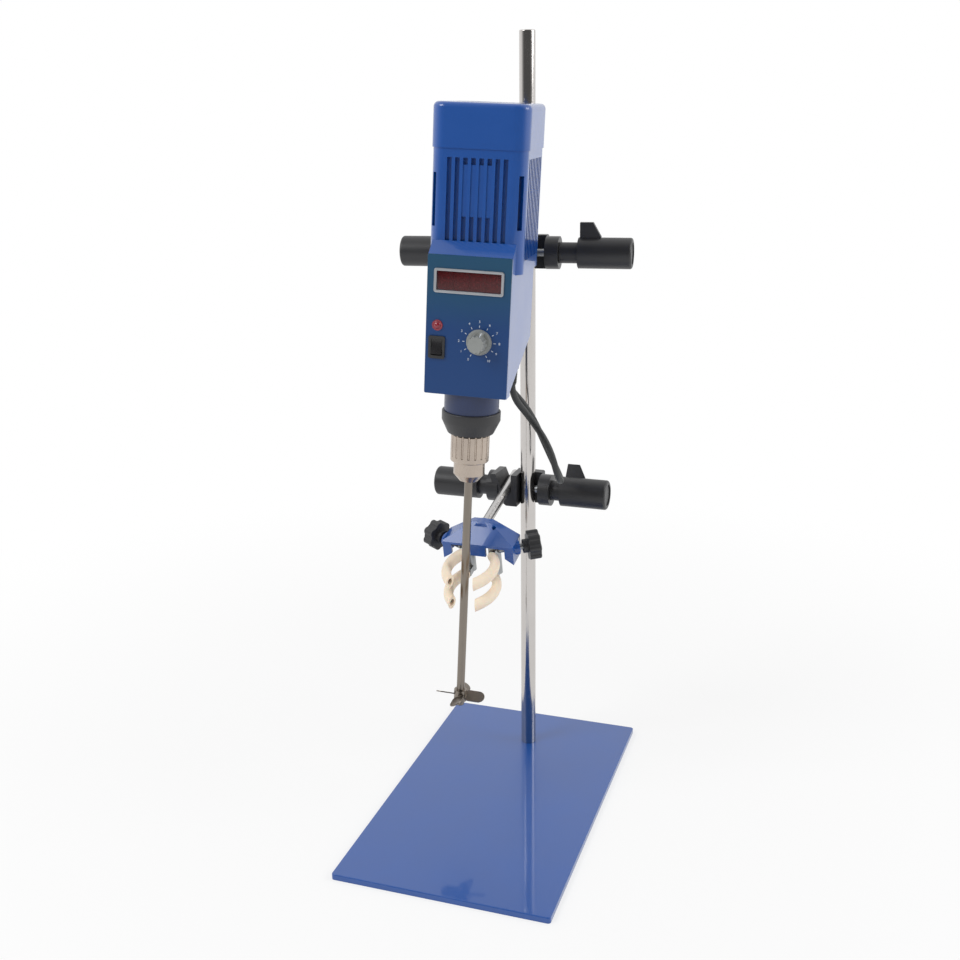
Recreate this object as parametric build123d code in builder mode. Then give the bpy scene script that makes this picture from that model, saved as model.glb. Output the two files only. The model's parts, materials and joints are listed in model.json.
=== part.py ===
from build123d import *

import math
import os
from collections import namedtuple

# An overhead stirrer on its rod stand, in millimetres. The base plate lies level with its front edge
# towards -Y. The origin is the middle of the plate's underside. The head is swung a little about
# the column and leans a little about its support arm, and the flask clamp points slightly down.

# Base plate and column
plate_width = 212
plate_depth = 364
plate_thickness = 6
plate_corner = 3
plate_edge = 0.6
column_radius = 8
column_height = 762
column_to_rear_edge = 65
column_chamfer = 0.8
screw_radius = 4
screw_head_radius = 8
screw_length = 26

# Clearances
running_gap = 0.08
free_gap = 0.3
thrust_gap = 0.1
loose_gap = 1
cut_past = 1

# How the groups stand on the column
head_swing = 5
head_lean = 3
flask_swing = -0.7
flask_pitch = 12.5

# One boss head: heights are above the plate, widths are measured from the column's axis
Boss = namedtuple("Boss", "height rod_offset rod_rise rod_radius collar_start collar_end left_end "
                          "neck_length grip_length")
upper = Boss(547, 22, 0, 6, 19.5, 33, 58.5, 19, 54)
lower = Boss(297, 20, 4, 5, 14.5, 26.5, 42, 11, 49)
upper_wing_turn = 180
lower_wing_turn = 140
left_wing_turn = -35
boss_half_height = 17
boss_half_depth = 15
boss_wall = 6
boss_lean = 7
boss_edge = 2
collar_radius = 16.5
stud_radius = 4
stud_embed = 12
knob_radius = 15.5
knob_neck_radius = 10.5
knob_rim = 2.5
knob_dish_radius = 11
knob_dish_depth = 1.2
wing_length = 21
wing_taper = 8
wing_height = 15
wing_thickness = 6
wing_start = 1.5
wing_tip = 1

# The head, from its support arm: reaches are forward distances from the column's axis
arm_rear = 25
arm_seat = 13
rear_reach = 55
motor_set_in = 1
box_half_width = 39
box_wall = 1.5
box_bottom = -114
box_front_top = 15
box_bevel_top = 26
box_top = -2
box_rear_bottom = -73
box_toe = 16
box_toe_height = 4
panel_thickness = 2
panel_corner = 1.5

# Motor
motor_half = 44
motor_corner = 13
motor_height = 110
fin_pitch = 7.4
fin_gap = 4.2
fin_depth = 4.5
fins_per_half_count = 4
plain_height = 46
plain_below_top = 6
plain_seat = 1
motor_bore = 34
bell_thickness = 8
bell_spigot = 5
foot_thickness = 12
bolt_radius = 2.2
bolt_inset = 12
bolt_slot_width = 5
bolt_slot_low = 40
bolt_slot_high = 88
bolt_head_radius = 4.2
bolt_head_height = 3
bolt_thread = 12
stator_inner = 22
stator_height = 50
winding_height = 11
winding_inset = 2
air_gap = 0.5
motor_shaft_radius = 5
bearing_thickness = 8
motor_bearing_radius = 13
cover_half = 45
cover_corner = 14
cover_height = 40
cover_wall = 1.8
cover_round = 5
slot_count = 7
slot_width = 3
slot_pitch = 8
slot_length = 56
fan_radius = 33
fan_height = 20
fan_gap = 1
fan_hub_radius = 9
fan_blade = 1.6
fan_seat = 2
fan_blade_count = 8

# Gears: a pinion on the motor shaft drives the spindle's gear
gear_module = 1
pinion_teeth = 15
gear_teeth = 45
pressure_angle = 20
backlash = 0.12
addendum = 0.9
dedendum = 1.2
gear_thickness = 11
gear_top = -37
gear_hub_radius = 13
gear_hub_height = 5
gear_wall = 3
gear_clearance = 1.2

# Gear case, bracket and spindle
bracket_bottom = -27
bracket_half_width = 36
bracket_wall = 2
bracket_set_in = 2
bracket_round = 4
lug_half_width = 12
lug_top = 14
lug_bottom = -16
lug_depth = 17
spindle_radius = 8
spindle_bearing_radius = 14
spindle_tube_radius = 17
neck_radius = 26
neck_rise = 14
neck_drop = 20
cap_radius = 28
cap_height = 22
cap_bore = 13
cap_foot_radius = 22
cap_band = 9

# Keyless chuck and stirring shaft
chuck_rise = 6
sleeve_gap = 1
sleeve_length = 27
nose_length = 20
chuck_core_radius = 15
chuck_neck_radius = 11
thread_radius = 6
thread_depth = 12
sleeve_radius = 18.5
groove_count = 18
groove_radius = 1
sleeve_band = 5
sleeve_chamfer = 0.8
nose_tip_radius = 9
nose_taper = 7
shaft_radius = 4
shaft_chamfer = 0.6
shaft_grip = 36
shaft_reach = 239
shaft_bore_gap = 0.5
jaw_grip_gap = 0.1
jaw_radius = 3
jaw_axis_radius = 5
jaw_angle = 10
jaw_length = 20
jaw_travel = 8
jaw_count = 3
hub_radius = 6.5
hub_height = 12
hub_rise = 11
blade_radius = 25
blade_width = 13
blade_thickness = 1.2
blade_pitch = 28
blade_count = 4

# Front panel fittings: x is to the right of the head's middle, z is from the support arm
window_width = 60
window_height = 17.4
window_z = -8.3
bezel_rim = 2.5
bezel_height = 1.2
window_thickness = 1.6
board_thickness = 1.6
digit_count = 4
digit_width = 12.7
digit_height = 16
digit_depth = 4
digit_pitch = 15
lamp_x = -28
lamp_z = -49.5
lamp_radius = 4
lamp_rim = 1
lamp_depth = 9
switch_x = -28
switch_z = -70
switch_width = 15.5
switch_height = 21
switch_depth = 14
switch_rim = 1.6
rocker_width = 10
rocker_height = 14
rocker_tilt = 11
rocker_proud = 2.6
rocker_dip = 1
rocker_axle_radius = 1.2
rocker_axle_set_in = 0.8
rocker_axle_seat = 0.6
dial_x = 11.5
dial_z = -62.6
dial_shaft_radius = 3
dial_bush_radius = 4.5
dial_body_radius = 8.5
dial_body_depth = 8
dial_floor = 1
dial_bush_proud = 4
skirt_radius = 12
skirt_height = 3
knob_top_radius = 8.6
knob_height = 14
flute_count = 12
flute_radius = 0.9
flute_taper = 3
skirt_taper = 20
pointer_width = 3
pointer_angle = 22

# Flask clamp, from the rod's axis at the column
flask_rod_start = -22
flask_head_back = 88
flask_head_depth = 26
rod_seat = 8
flask_head_half = 37
flask_wall = 3.2
flask_crown = 8
flask_crown_half = 10
flask_shoulder = -7
flask_foot = -27
flask_middle_foot = -21
flask_front_top = -8
flask_crown_depth = 8
notch_inner = 8
notch_outer = 28
notch_top = -10.5
hollow_top = -9
socket_wall = 3.5
pin_seat = 4
pivot_x = 14
pivot_set_in = 11
pin_radius = 2
post_radius = 5
prong_z = -20
prong_pitch = 24
prong_root_set_in = 2
prong_seat = 1
prong_length = 48
prong_bulge = 9
prong_bulge_share = 0.54
prong_tip_out = 1.5
prong_radius = 3.4
sleeve_outer = 6.3
sleeve_clearance = 0.5
sleeve_over = 6
web_width = 7
web_gap = 1
screw_line_z = -15
screw_line_angle = 28
contact_set_in = 21
star_screw_radius = 3
star_stand_off = 14.5
star_edge = 1
star_hub_radius = 7
star_hub_length = 5
star_radius = 15
star_thickness = 12
lobe_count = 7
star_lobe_radius = 4.2
star_boss_radius = 7.5
star_boss_proud = 1.5
star_boss_length = 8

# Mains lead
cord_radius = 3.25
gland_x = 31
gland_set_in = 49
gland_radius = 6.5
gland_flange = 7.5
gland_seat = 1.5
gland_taper = 7
gland_flange_height = 3
gland_length = 22
hank_fold_radius = 20
hank_layer_count = 2
hank_row_count = 3
hank_straight = 42
hank_gap = 0.5
hank_seat = 0.2
hank_round = 2.5
hank_approach = 30.5
tail_run = 14
tail_slant = 20
tail_set_back = 13.25
lead_straight = 15.6
bend_share = 0.45
plug_length = 34
plug_width = 32
plug_depth = 18
plug_neck = 15
plug_neck_radius = 5.5
plug_pin_length = 17
plug_pin_width = 6.3
plug_pin_thickness = 1.6
plug_pin_spread = 6.9
plug_pin_offset = 4
plug_round = 6
plug_edge = 2
plug_pin_angle = 30

# The head's pieces stand in line from its rear face: motor, gear pair, front panel
column_y = plate_depth / 2 - column_to_rear_edge
gear_radius = gear_module * gear_teeth / 2
pinion_radius = gear_module * pinion_teeth / 2
gear_room = gear_radius + gear_module + gear_clearance
pinion_room = pinion_radius + gear_module + gear_clearance
motor_reach = rear_reach + motor_set_in + motor_half
motor_front = motor_reach + motor_half + free_gap
spindle_reach = motor_reach + gear_radius + pinion_radius
front_reach = spindle_reach + gear_room + gear_wall + free_gap + panel_thickness
bracket_front = spindle_reach + spindle_bearing_radius + bracket_wall
bracket_rear = rear_reach + bracket_set_in
arm_front = rear_reach - lug_depth + arm_seat
gland_reach = rear_reach + gland_set_in

# Neck, chuck and shaft stand below one another
neck_top = box_bottom + neck_rise
neck_bottom = box_bottom - neck_drop
cap_bottom = neck_bottom - cap_height
chuck_top = cap_bottom + chuck_rise
sleeve_top = cap_bottom - sleeve_gap
sleeve_bottom = sleeve_top - sleeve_length
nose_bottom = sleeve_bottom - nose_length
shaft_tip = nose_bottom - shaft_reach
hub_center = shaft_tip + hub_rise

# The flask clamp's pieces stand in line from the back of its head
flask_rod_end = flask_head_back + rod_seat
flask_head_front = flask_head_back + flask_head_depth
pivot_reach = flask_head_back + pivot_set_in
contact_reach = flask_head_back + contact_set_in
prong_root = flask_head_front - prong_root_set_in
prong_tip_reach = prong_root + prong_length
prong_bulge_reach = prong_root + prong_bulge_share * prong_length
sleeve_start = flask_head_front + sleeve_clearance
star_center_x = flask_head_half + star_stand_off


# The lead's hanging loop in the head's own axes, from the head's rear face: down in front, round
# and up behind
lead_loop = [
    (44.9, -17.7, -150.0),
    (69.6, -31.0, -174.8),
    (79.8, -25.0, -211.4),
    (77.3, 13.0, -223.0),
    (57.8, 37.8, -201.7),
    (38.7, 17.3, -151.7),
    (10.3, 14.1, -124.9),
]


# Frames and sketch planes
def at(frame, x=0, y=0, z=0, turn=(0, 0, 0)):
    """The frame moved to a point of its own and turned there about its own axes."""
    return Plane(frame.location * Location((x, y, z), turn))


def level(frame, x=0, y=0, z=0):
    """A sketch plane seen from above."""
    return at(frame, x, y, z)


def facing(frame, x=0, y=0, z=0):
    """A sketch plane seen from the front: right, up, and out towards the front."""
    return at(frame, x, y, z, (90, 0, 0))


def sideways(frame, x=0, y=0, z=0):
    """A sketch plane seen from the right: back, up, and out to the right."""
    return at(frame, x, y, z, (90, 90, 0))


def axis_of(plane):
    """The axis that stands on a plane."""
    return Axis(plane.origin, plane.z_dir)


stand = Plane((0, column_y, plate_thickness))
upper_frame = at(stand, z=upper.height, turn=(0, 0, head_swing))
lower_frame = at(stand, z=lower.height, turn=(0, 0, flask_swing))
head = at(upper_frame, x=-upper.rod_offset, turn=(0, head_lean, 0))
flask = at(lower_frame, x=-lower.rod_offset, z=lower.rod_rise, turn=(flask_pitch, 0, 0))
spindle_frame = at(head, y=-spindle_reach)
motor_frame = at(head, y=-motor_reach, z=box_top)

box_floor = Vector(0, -front_reach + box_toe, box_bottom + box_toe_height)
box_heel = Vector(0, -rear_reach, box_rear_bottom)
floor_slope = (box_heel.Z - box_floor.Z) / (box_heel.Y - box_floor.Y)
floor_angle = math.degrees(math.atan(floor_slope))
gland_z = box_floor.Z + floor_slope * (-gland_reach - box_floor.Y)
gland_plane = at(head, gland_x, -gland_reach, gland_z, (180 + floor_angle, 0, 0))
bolt_offset = motor_half - bolt_inset
bolt_places = [(x * bolt_offset, y * bolt_offset) for x in (-1, 1) for y in (-1, 1)]
spigot_half = cover_half - cover_wall
prong_heights = (prong_z, prong_z - prong_pitch)
web_top = notch_top - web_gap
screw_slant = math.radians(screw_line_angle)
screw_contact_x = pivot_x + web_width / 2 + free_gap + star_screw_radius * (1 - math.cos(screw_slant))
star_center = (star_center_x - screw_contact_x) / math.cos(screw_slant)
star_boss_end = (flask_head_half + star_boss_proud - screw_contact_x) / math.cos(screw_slant)

pieces = {}


def keep(name, part):
    """Label a finished piece and remember it for export."""
    part.label = name
    pieces[name] = part


def round_bar(plane, radius, length):
    """A plain cylinder that stands on a plane."""
    with BuildPart() as bar:
        with BuildSketch(plane):
            Circle(radius)
        extrude(amount=length)
    return bar.part


# Base plate, column and its screw
with BuildPart() as base_plate:
    with BuildSketch(Plane.XY):
        RectangleRounded(plate_width, plate_depth, plate_corner)
    extrude(amount=plate_thickness)
    chamfer(base_plate.faces().sort_by(Axis.Z)[-1].edges(), plate_edge)
    with Locations(Plane((0, column_y, 0), z_dir=(0, 0, -1))):
        CounterSinkHole(screw_radius, screw_head_radius)
keep("base_plate", base_plate.part)

with BuildPart() as column_screw:
    with BuildSketch(Plane.XZ.offset(-column_y)):
        with BuildLine():
            cone = screw_head_radius - screw_radius
            Polyline(
                (0, 0),
                (screw_head_radius - running_gap, 0),
                (screw_radius - running_gap, cone),
                (screw_radius - running_gap, screw_length),
                (0, screw_length),
                close=True,
            )
        make_face()
    revolve(axis=Axis((0, column_y, 0), (0, 0, 1)))
    with BuildSketch(Plane((0, column_y, 0))):
        RegularPolygon(screw_radius / 2, 6)
    extrude(amount=cone / 2, mode=Mode.SUBTRACT)
keep("column_screw", column_screw.part)

with BuildPart() as column:
    with BuildSketch(level(stand, z=thrust_gap)):
        Circle(column_radius)
    extrude(amount=column_height - thrust_gap)
    chamfer(column.edges().sort_by(Axis.Z)[-1], column_chamfer)
    with BuildSketch(level(stand, z=thrust_gap)):
        Circle(screw_radius + running_gap)
    extrude(amount=screw_length, mode=Mode.SUBTRACT)
keep("column", column.part)


# Boss heads with their clamping knobs
def boss_casting(boss, frame, rod_frame):
    """A hook round the back of the column, a V for the rod, and a threaded collar at each end."""
    column_bore = column_radius + free_gap
    rod_bore = boss.rod_radius + free_gap
    groove_right = -boss.rod_offset + rod_bore
    groove_left = -boss.rod_offset - rod_bore
    with BuildPart() as casting:
        with BuildSketch(facing(frame, y=boss_half_depth)):
            with BuildLine():
                Polyline(
                    (boss.collar_start, -boss_half_height),
                    (boss.collar_start, boss_half_height),
                    (groove_left - boss_wall - boss_lean, boss_half_height),
                    (groove_left - boss_wall, -boss_half_height / 2),
                    (-boss.rod_offset, -boss_half_height),
                    close=True,
                )
            make_face()
        extrude(amount=2 * boss_half_depth)
        fillet(casting.edges().filter_by(Axis(frame.origin, frame.y_dir)), boss_edge)
        # Collars
        with BuildSketch(sideways(frame, x=boss.collar_start - boss_edge)):
            Circle(collar_radius)
        extrude(amount=boss.collar_end - boss.collar_start + boss_edge)
        with BuildSketch(sideways(frame, x=-boss.left_end)):
            Circle(collar_radius)
        extrude(amount=boss.left_end + groove_left - boss_wall + boss_edge)
        # Slot for the column, open to the front and out to the right collar's stud
        with BuildSketch(level(frame, z=-collar_radius - boss_edge)):
            Circle(column_bore)
            with Locations((0, -boss_half_depth)):
                Rectangle(2 * column_bore, 2 * boss_half_depth)
            with Locations((boss.collar_start / 2, -boss_half_depth)):
                Rectangle(boss.collar_start, 2 * (boss_half_depth + stud_radius + loose_gap))
        extrude(amount=2 * (collar_radius + boss_edge), mode=Mode.SUBTRACT)
        # V for the rod, open upwards
        with BuildSketch(facing(rod_frame, y=2 * boss_half_depth)):
            Circle(rod_bore)
            with BuildLine():
                Polyline(
                    (rod_bore, 0),
                    (rod_bore, 2 * boss_half_height),
                    (-rod_bore - 2 * boss_lean, 2 * boss_half_height),
                    (-rod_bore, 0),
                    close=True,
                )
            make_face()
        extrude(amount=4 * boss_half_depth, mode=Mode.SUBTRACT)
        # Threaded bores for the studs
        with BuildSketch(sideways(frame, x=boss.collar_start / 2)):
            Circle(stud_radius + running_gap)
        extrude(amount=boss.collar_end, mode=Mode.SUBTRACT)
        with BuildSketch(sideways(frame, x=-boss.left_end - boss_edge)):
            Circle(stud_radius + running_gap)
        extrude(amount=boss.left_end + boss_edge + groove_right - rod_bore, mode=Mode.SUBTRACT)
    return casting.part


def clamp_knob(boss, plane):
    """A moulded knob: the plane stands at the collar, looking out along the knob's axis."""
    neck = boss.neck_length - free_gap
    total = neck + boss.grip_length
    with BuildPart() as knob:
        with BuildSketch(Plane(plane.location * Location((0, 0, 0), (90, 0, 0)))):
            with BuildLine():
                Polyline(
                    (0, 0),
                    (knob_neck_radius, 0),
                    (knob_neck_radius, neck),
                    (knob_radius, neck),
                    (knob_radius, total - knob_rim),
                )
                RadiusArc((knob_radius, total - knob_rim), (knob_radius - knob_rim, total), -knob_rim)
                Polyline(
                    (knob_radius - knob_rim, total),
                    (knob_dish_radius, total),
                    (knob_dish_radius, total - knob_dish_depth),
                    (0, total - knob_dish_depth),
                    (0, 0),
                )
            make_face()
        revolve(axis=axis_of(plane))
        with BuildSketch(Plane(plane.location * Location((0, 0, 0), (90, 0, 0)))):
            with BuildLine():
                Polyline(
                    (knob_neck_radius, neck + wing_start),
                    (knob_radius + wing_height, neck + wing_start),
                    (knob_radius + wing_height, neck + wing_start + wing_length - wing_taper),
                    (knob_radius + wing_tip, neck + wing_start + wing_length),
                    (knob_neck_radius, neck + wing_start + wing_length),
                    close=True,
                )
            make_face()
        extrude(amount=wing_thickness / 2, both=True)
        with BuildSketch(plane):
            Circle(stud_radius)
        extrude(amount=stud_embed, mode=Mode.SUBTRACT)
    return knob.part


def boss_set(boss, name, frame, rod_frame, left_turn, right_turn):
    """One boss head, its two knobs and the studs that are moulded into them."""
    keep(name + "_boss", boss_casting(boss, frame, rod_frame))
    right = at(frame, x=boss.collar_end + free_gap, turn=(right_turn, 90, 0))
    left = at(frame, x=-boss.left_end - free_gap, turn=(left_turn, -90, 0))
    keep(name + "_right_knob", clamp_knob(boss, right))
    keep(name + "_left_knob", clamp_knob(boss, left))
    right_reach = boss.collar_end + free_gap - column_radius - free_gap
    left_reach = boss.left_end + free_gap - boss.rod_offset - boss.rod_radius - free_gap
    keep(name + "_right_stud", round_bar(at(right, z=-right_reach), stud_radius, right_reach + stud_embed))
    keep(name + "_left_stud", round_bar(at(left, z=-left_reach), stud_radius, left_reach + stud_embed))


boss_set(upper, "upper", upper_frame, at(upper_frame, x=-upper.rod_offset), 0, upper_wing_turn)
boss_set(lower, "lower", lower_frame, flask, left_wing_turn, lower_wing_turn)

with BuildPart() as support_arm:
    with BuildSketch(facing(at(upper_frame, x=-upper.rod_offset), y=arm_rear)):
        Circle(upper.rod_radius)
    extrude(amount=arm_rear + arm_front)
    chamfer(support_arm.edges(), column_chamfer)
keep("support_arm", support_arm.part)


# Gear case, motor bracket and the sheet metal box round them
def box_profile(inset):
    """The control box seen from the right: it stands up in front of the motor and cuts away below."""
    with BuildSketch() as profile:
        with BuildLine():
            Polyline(
                (-front_reach + panel_thickness, box_bottom),
                (-front_reach + panel_thickness, box_front_top),
                (-motor_front, box_bevel_top),
                (-motor_front, box_top),
                (-rear_reach, box_top),
                (box_heel.Y, box_heel.Z),
                (box_floor.Y, box_floor.Z),
                (box_floor.Y, box_bottom),
                close=True,
            )
        make_face()
        if inset:
            offset(amount=-inset, mode=Mode.REPLACE)
    return profile.sketch


with BuildPart() as control_box:
    with BuildSketch(sideways(head, x=-box_half_width)):
        add(box_profile(0))
    extrude(amount=2 * box_half_width)
    with BuildSketch(sideways(head, x=-box_half_width + box_wall)):
        add(box_profile(box_wall))
    extrude(amount=2 * (box_half_width - box_wall), mode=Mode.SUBTRACT)
    # Open front behind the panel
    with BuildSketch(facing(head, y=-front_reach + panel_thickness)):
        with Locations((0, (box_front_top + box_bottom) / 2)):
            Rectangle(2 * (box_half_width - box_wall), box_front_top - box_bottom - 2 * box_wall)
    extrude(amount=-2 * box_wall, mode=Mode.SUBTRACT)
    # Mouth for the neck, seat for the motor, and the opening at the rear for the bracket's lug
    with BuildSketch(level(spindle_frame, z=box_bottom - box_wall)):
        Circle(neck_radius + free_gap)
    extrude(amount=box_heel.Z - box_bottom, mode=Mode.SUBTRACT)
    with BuildSketch(level(head, y=-motor_reach, z=box_top - 2 * box_wall)):
        Rectangle(2 * bracket_half_width, 2 * bracket_half_width)
    extrude(amount=3 * box_wall, mode=Mode.SUBTRACT)
    with BuildSketch(facing(head, y=-rear_reach + box_wall)):
        with Locations((0, (box_top + lug_bottom) / 2)):
            Rectangle(2 * (lug_half_width + free_gap), box_top - lug_bottom + 2 * free_gap)
    extrude(amount=4 * box_wall, both=True, mode=Mode.SUBTRACT)
    # Hole for the lead's gland in the slanting floor
    with BuildSketch(gland_plane):
        Circle(gland_radius)
    extrude(amount=3 * box_wall, both=True, mode=Mode.SUBTRACT)
keep("control_box", control_box.part)

with BuildPart() as motor_bracket:
    with BuildSketch(level(head, z=bracket_bottom)):
        with Locations((0, -(bracket_front + bracket_rear) / 2)):
            RectangleRounded(2 * bracket_half_width, bracket_front - bracket_rear, bracket_round)
    extrude(amount=box_top - box_wall - bracket_bottom)
    with BuildSketch(level(motor_frame, z=-2 * box_wall)):
        Rectangle(2 * (bracket_half_width - free_gap), 2 * (bracket_half_width - free_gap))
    extrude(amount=2 * box_wall)
    # Lug with a rounded top that holds the support arm
    with BuildSketch(facing(head, y=-rear_reach + lug_depth)):
        with Locations((0, lug_top - lug_half_width)):
            Circle(lug_half_width)
        with Locations((0, (lug_top - lug_half_width + lug_bottom) / 2)):
            Rectangle(2 * lug_half_width, lug_top - lug_half_width - lug_bottom)
    extrude(amount=lug_depth)
    with BuildSketch(facing(head, y=-rear_reach)):
        with Locations((0, (box_top + lug_bottom) / 2)):
            Rectangle(2 * lug_half_width, box_top - lug_bottom)
    extrude(amount=bracket_rear - rear_reach)
    with BuildSketch(facing(head, y=-rear_reach + lug_depth)):
        Circle(upper.rod_radius + running_gap)
    extrude(amount=arm_seat + running_gap, mode=Mode.SUBTRACT)
    # Seat of the upper spindle bearing, motor shaft hole and threaded holes for the long bolts
    with BuildSketch(level(spindle_frame, z=bracket_bottom)):
        Circle(spindle_bearing_radius)
    extrude(amount=bearing_thickness + loose_gap, mode=Mode.SUBTRACT)
    with BuildSketch(level(motor_frame, z=bracket_bottom - box_top)):
        Circle(motor_shaft_radius + loose_gap)
    extrude(amount=-bracket_bottom, mode=Mode.SUBTRACT)
    with BuildSketch(level(motor_frame, z=-bolt_thread)):
        with Locations(*bolt_places):
            Circle(bolt_radius)
    extrude(amount=bolt_thread, mode=Mode.SUBTRACT)
keep("motor_bracket", motor_bracket.part)

gear_floor = gear_top - gear_thickness - gear_clearance
case_bottom = gear_floor - gear_wall

with BuildPart() as gear_case:
    with BuildSketch(level(spindle_frame, z=case_bottom)):
        Circle(gear_room + gear_wall)
        with Locations((0, spindle_reach - motor_reach)):
            Circle(pinion_room + gear_wall)
        make_hull()
    extrude(amount=bracket_bottom - case_bottom)
    with BuildSketch(level(spindle_frame, z=gear_floor)):
        Circle(gear_room)
        with Locations((0, spindle_reach - motor_reach)):
            Circle(pinion_room)
    extrude(amount=bracket_bottom - gear_floor, mode=Mode.SUBTRACT)
    with BuildSketch(level(spindle_frame, z=neck_top)):
        Circle(spindle_tube_radius)
    extrude(amount=case_bottom - neck_top)
    with BuildSketch(level(spindle_frame, z=neck_bottom)):
        Circle(neck_radius)
    extrude(amount=neck_top - neck_bottom)
    with BuildSketch(level(spindle_frame, z=neck_bottom)):
        Circle(spindle_radius + loose_gap)
    extrude(amount=gear_floor - neck_bottom, mode=Mode.SUBTRACT)
    with BuildSketch(level(spindle_frame, z=neck_bottom)):
        Circle(spindle_bearing_radius)
    extrude(amount=bearing_thickness, mode=Mode.SUBTRACT)
keep("gear_case", gear_case.part)

with BuildPart() as bearing_cap:
    with BuildSketch(sideways(spindle_frame)):
        with BuildLine():
            Polyline(
                (cap_bore, neck_bottom),
                (cap_radius, neck_bottom),
                (cap_radius, neck_bottom - cap_band),
                (cap_foot_radius, cap_bottom),
                (cap_bore, cap_bottom),
                close=True,
            )
        make_face()
    revolve(axis=axis_of(spindle_frame))
keep("bearing_cap", bearing_cap.part)

with BuildPart() as spindle_bearings:
    for height in (bracket_bottom, neck_bottom):
        with BuildSketch(level(spindle_frame, z=height)):
            Circle(spindle_bearing_radius)
            Circle(spindle_radius + running_gap, mode=Mode.SUBTRACT)
        extrude(amount=bearing_thickness)
keep("spindle_bearings", spindle_bearings.part)


# Gear pair
def involute(radius, base):
    """The angle that an involute has turned through where it reaches a radius."""
    roll = math.sqrt(max((radius / base) ** 2 - 1, 0))
    return roll - math.atan(roll)


def spur_gear(plane, teeth, thickness, turn):
    """A spur gear with involute flanks that stands on a plane, one tooth at the given angle."""
    pitch = gear_module * teeth / 2
    base = pitch * math.cos(math.radians(pressure_angle))
    tip = pitch + addendum * gear_module
    root = pitch - dedendum * gear_module
    half_tooth = math.pi / (2 * teeth) - backlash / (2 * pitch)

    def flank(radius, side):
        angle = side * (half_tooth + involute(pitch, base) - involute(radius, base))
        return (radius * math.cos(angle), radius * math.sin(angle))

    start = max(base, root)
    middle = (start + tip) / 2
    with BuildSketch() as tooth:
        with BuildLine():
            Line((0, 0), flank(start, -1))
            ThreePointArc(flank(start, -1), flank(middle, -1), flank(tip, -1))
            ThreePointArc(flank(tip, -1), (tip, 0), flank(tip, 1))
            ThreePointArc(flank(tip, 1), flank(middle, 1), flank(start, 1))
            Line(flank(start, 1), (0, 0))
        make_face()
    with BuildPart() as gear:
        with BuildSketch(plane):
            Circle(root)
            with PolarLocations(0, teeth, start_angle=turn):
                add(tooth.sketch)
        extrude(amount=thickness)
    return gear.part


gear_plane = level(spindle_frame, z=gear_top - gear_thickness)
pinion_plane = level(motor_frame, z=gear_top - gear_thickness - box_top)
pinion_turn = -90 + 180 / pinion_teeth

with BuildPart() as spindle_gear:
    add(spur_gear(gear_plane, gear_teeth, gear_thickness, 90))
    with BuildSketch(at(gear_plane, z=gear_thickness)):
        Circle(gear_hub_radius)
    extrude(amount=gear_hub_height)
    with BuildSketch(gear_plane):
        Circle(spindle_radius)
    extrude(amount=gear_thickness + gear_hub_height, mode=Mode.SUBTRACT)
keep("spindle_gear", spindle_gear.part)

with BuildPart() as spindle:
    with BuildSketch(level(spindle_frame, z=chuck_top - thread_depth)):
        Circle(thread_radius)
    extrude(amount=neck_bottom - chuck_top + thread_depth)
    with BuildSketch(level(spindle_frame, z=neck_bottom)):
        Circle(spindle_radius)
    extrude(amount=bracket_bottom + bearing_thickness - neck_bottom)
keep("spindle", spindle.part)


# Keyless chuck
def jaw_plane(number):
    """The foot of one jaw's slot, on the nose, with its axis leaning outwards as it rises."""
    turned = Location((0, 0, nose_bottom), (0, 0, number * 360 / jaw_count))
    leaned = Location((jaw_axis_radius, 0, 0), (0, jaw_angle, 0))
    return Plane(spindle_frame.location * turned * leaned)


with BuildPart() as chuck_body:
    with BuildSketch(sideways(spindle_frame)):
        with BuildLine():
            Polyline(
                (0, chuck_top),
                (chuck_neck_radius, chuck_top),
                (chuck_neck_radius, sleeve_top),
                (chuck_core_radius, sleeve_top),
                (chuck_core_radius, nose_bottom + nose_taper),
                (nose_tip_radius, nose_bottom),
                (0, nose_bottom),
                close=True,
            )
        make_face()
    revolve(axis=axis_of(spindle_frame))
    with BuildSketch(level(spindle_frame, z=chuck_top - thread_depth)):
        Circle(thread_radius)
    extrude(amount=thread_depth, mode=Mode.SUBTRACT)
    with BuildSketch(level(spindle_frame, z=nose_bottom)):
        Circle(shaft_radius + shaft_bore_gap)
    extrude(amount=shaft_grip + loose_gap, mode=Mode.SUBTRACT)
    for number in range(jaw_count):
        with BuildSketch(at(jaw_plane(number), z=-jaw_radius)):
            Circle(jaw_radius + running_gap)
        extrude(amount=jaw_radius + jaw_length + jaw_travel + loose_gap, mode=Mode.SUBTRACT)
keep("chuck_body", chuck_body.part)

with BuildPart() as chuck_sleeve:
    with BuildSketch(level(spindle_frame, z=sleeve_bottom)):
        Circle(sleeve_radius)
    extrude(amount=sleeve_top - sleeve_bottom)
    chamfer(chuck_sleeve.edges().filter_by(GeomType.CIRCLE), sleeve_chamfer)
    with BuildSketch(level(spindle_frame, z=sleeve_bottom + sleeve_band)):
        with PolarLocations(sleeve_radius, groove_count):
            Circle(groove_radius)
    extrude(amount=sleeve_top - sleeve_bottom - sleeve_band, mode=Mode.SUBTRACT)
    with BuildSketch(level(spindle_frame, z=sleeve_bottom)):
        Circle(chuck_core_radius + running_gap)
    extrude(amount=sleeve_top - sleeve_bottom, mode=Mode.SUBTRACT)
keep("chuck_sleeve", chuck_sleeve.part)

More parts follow.
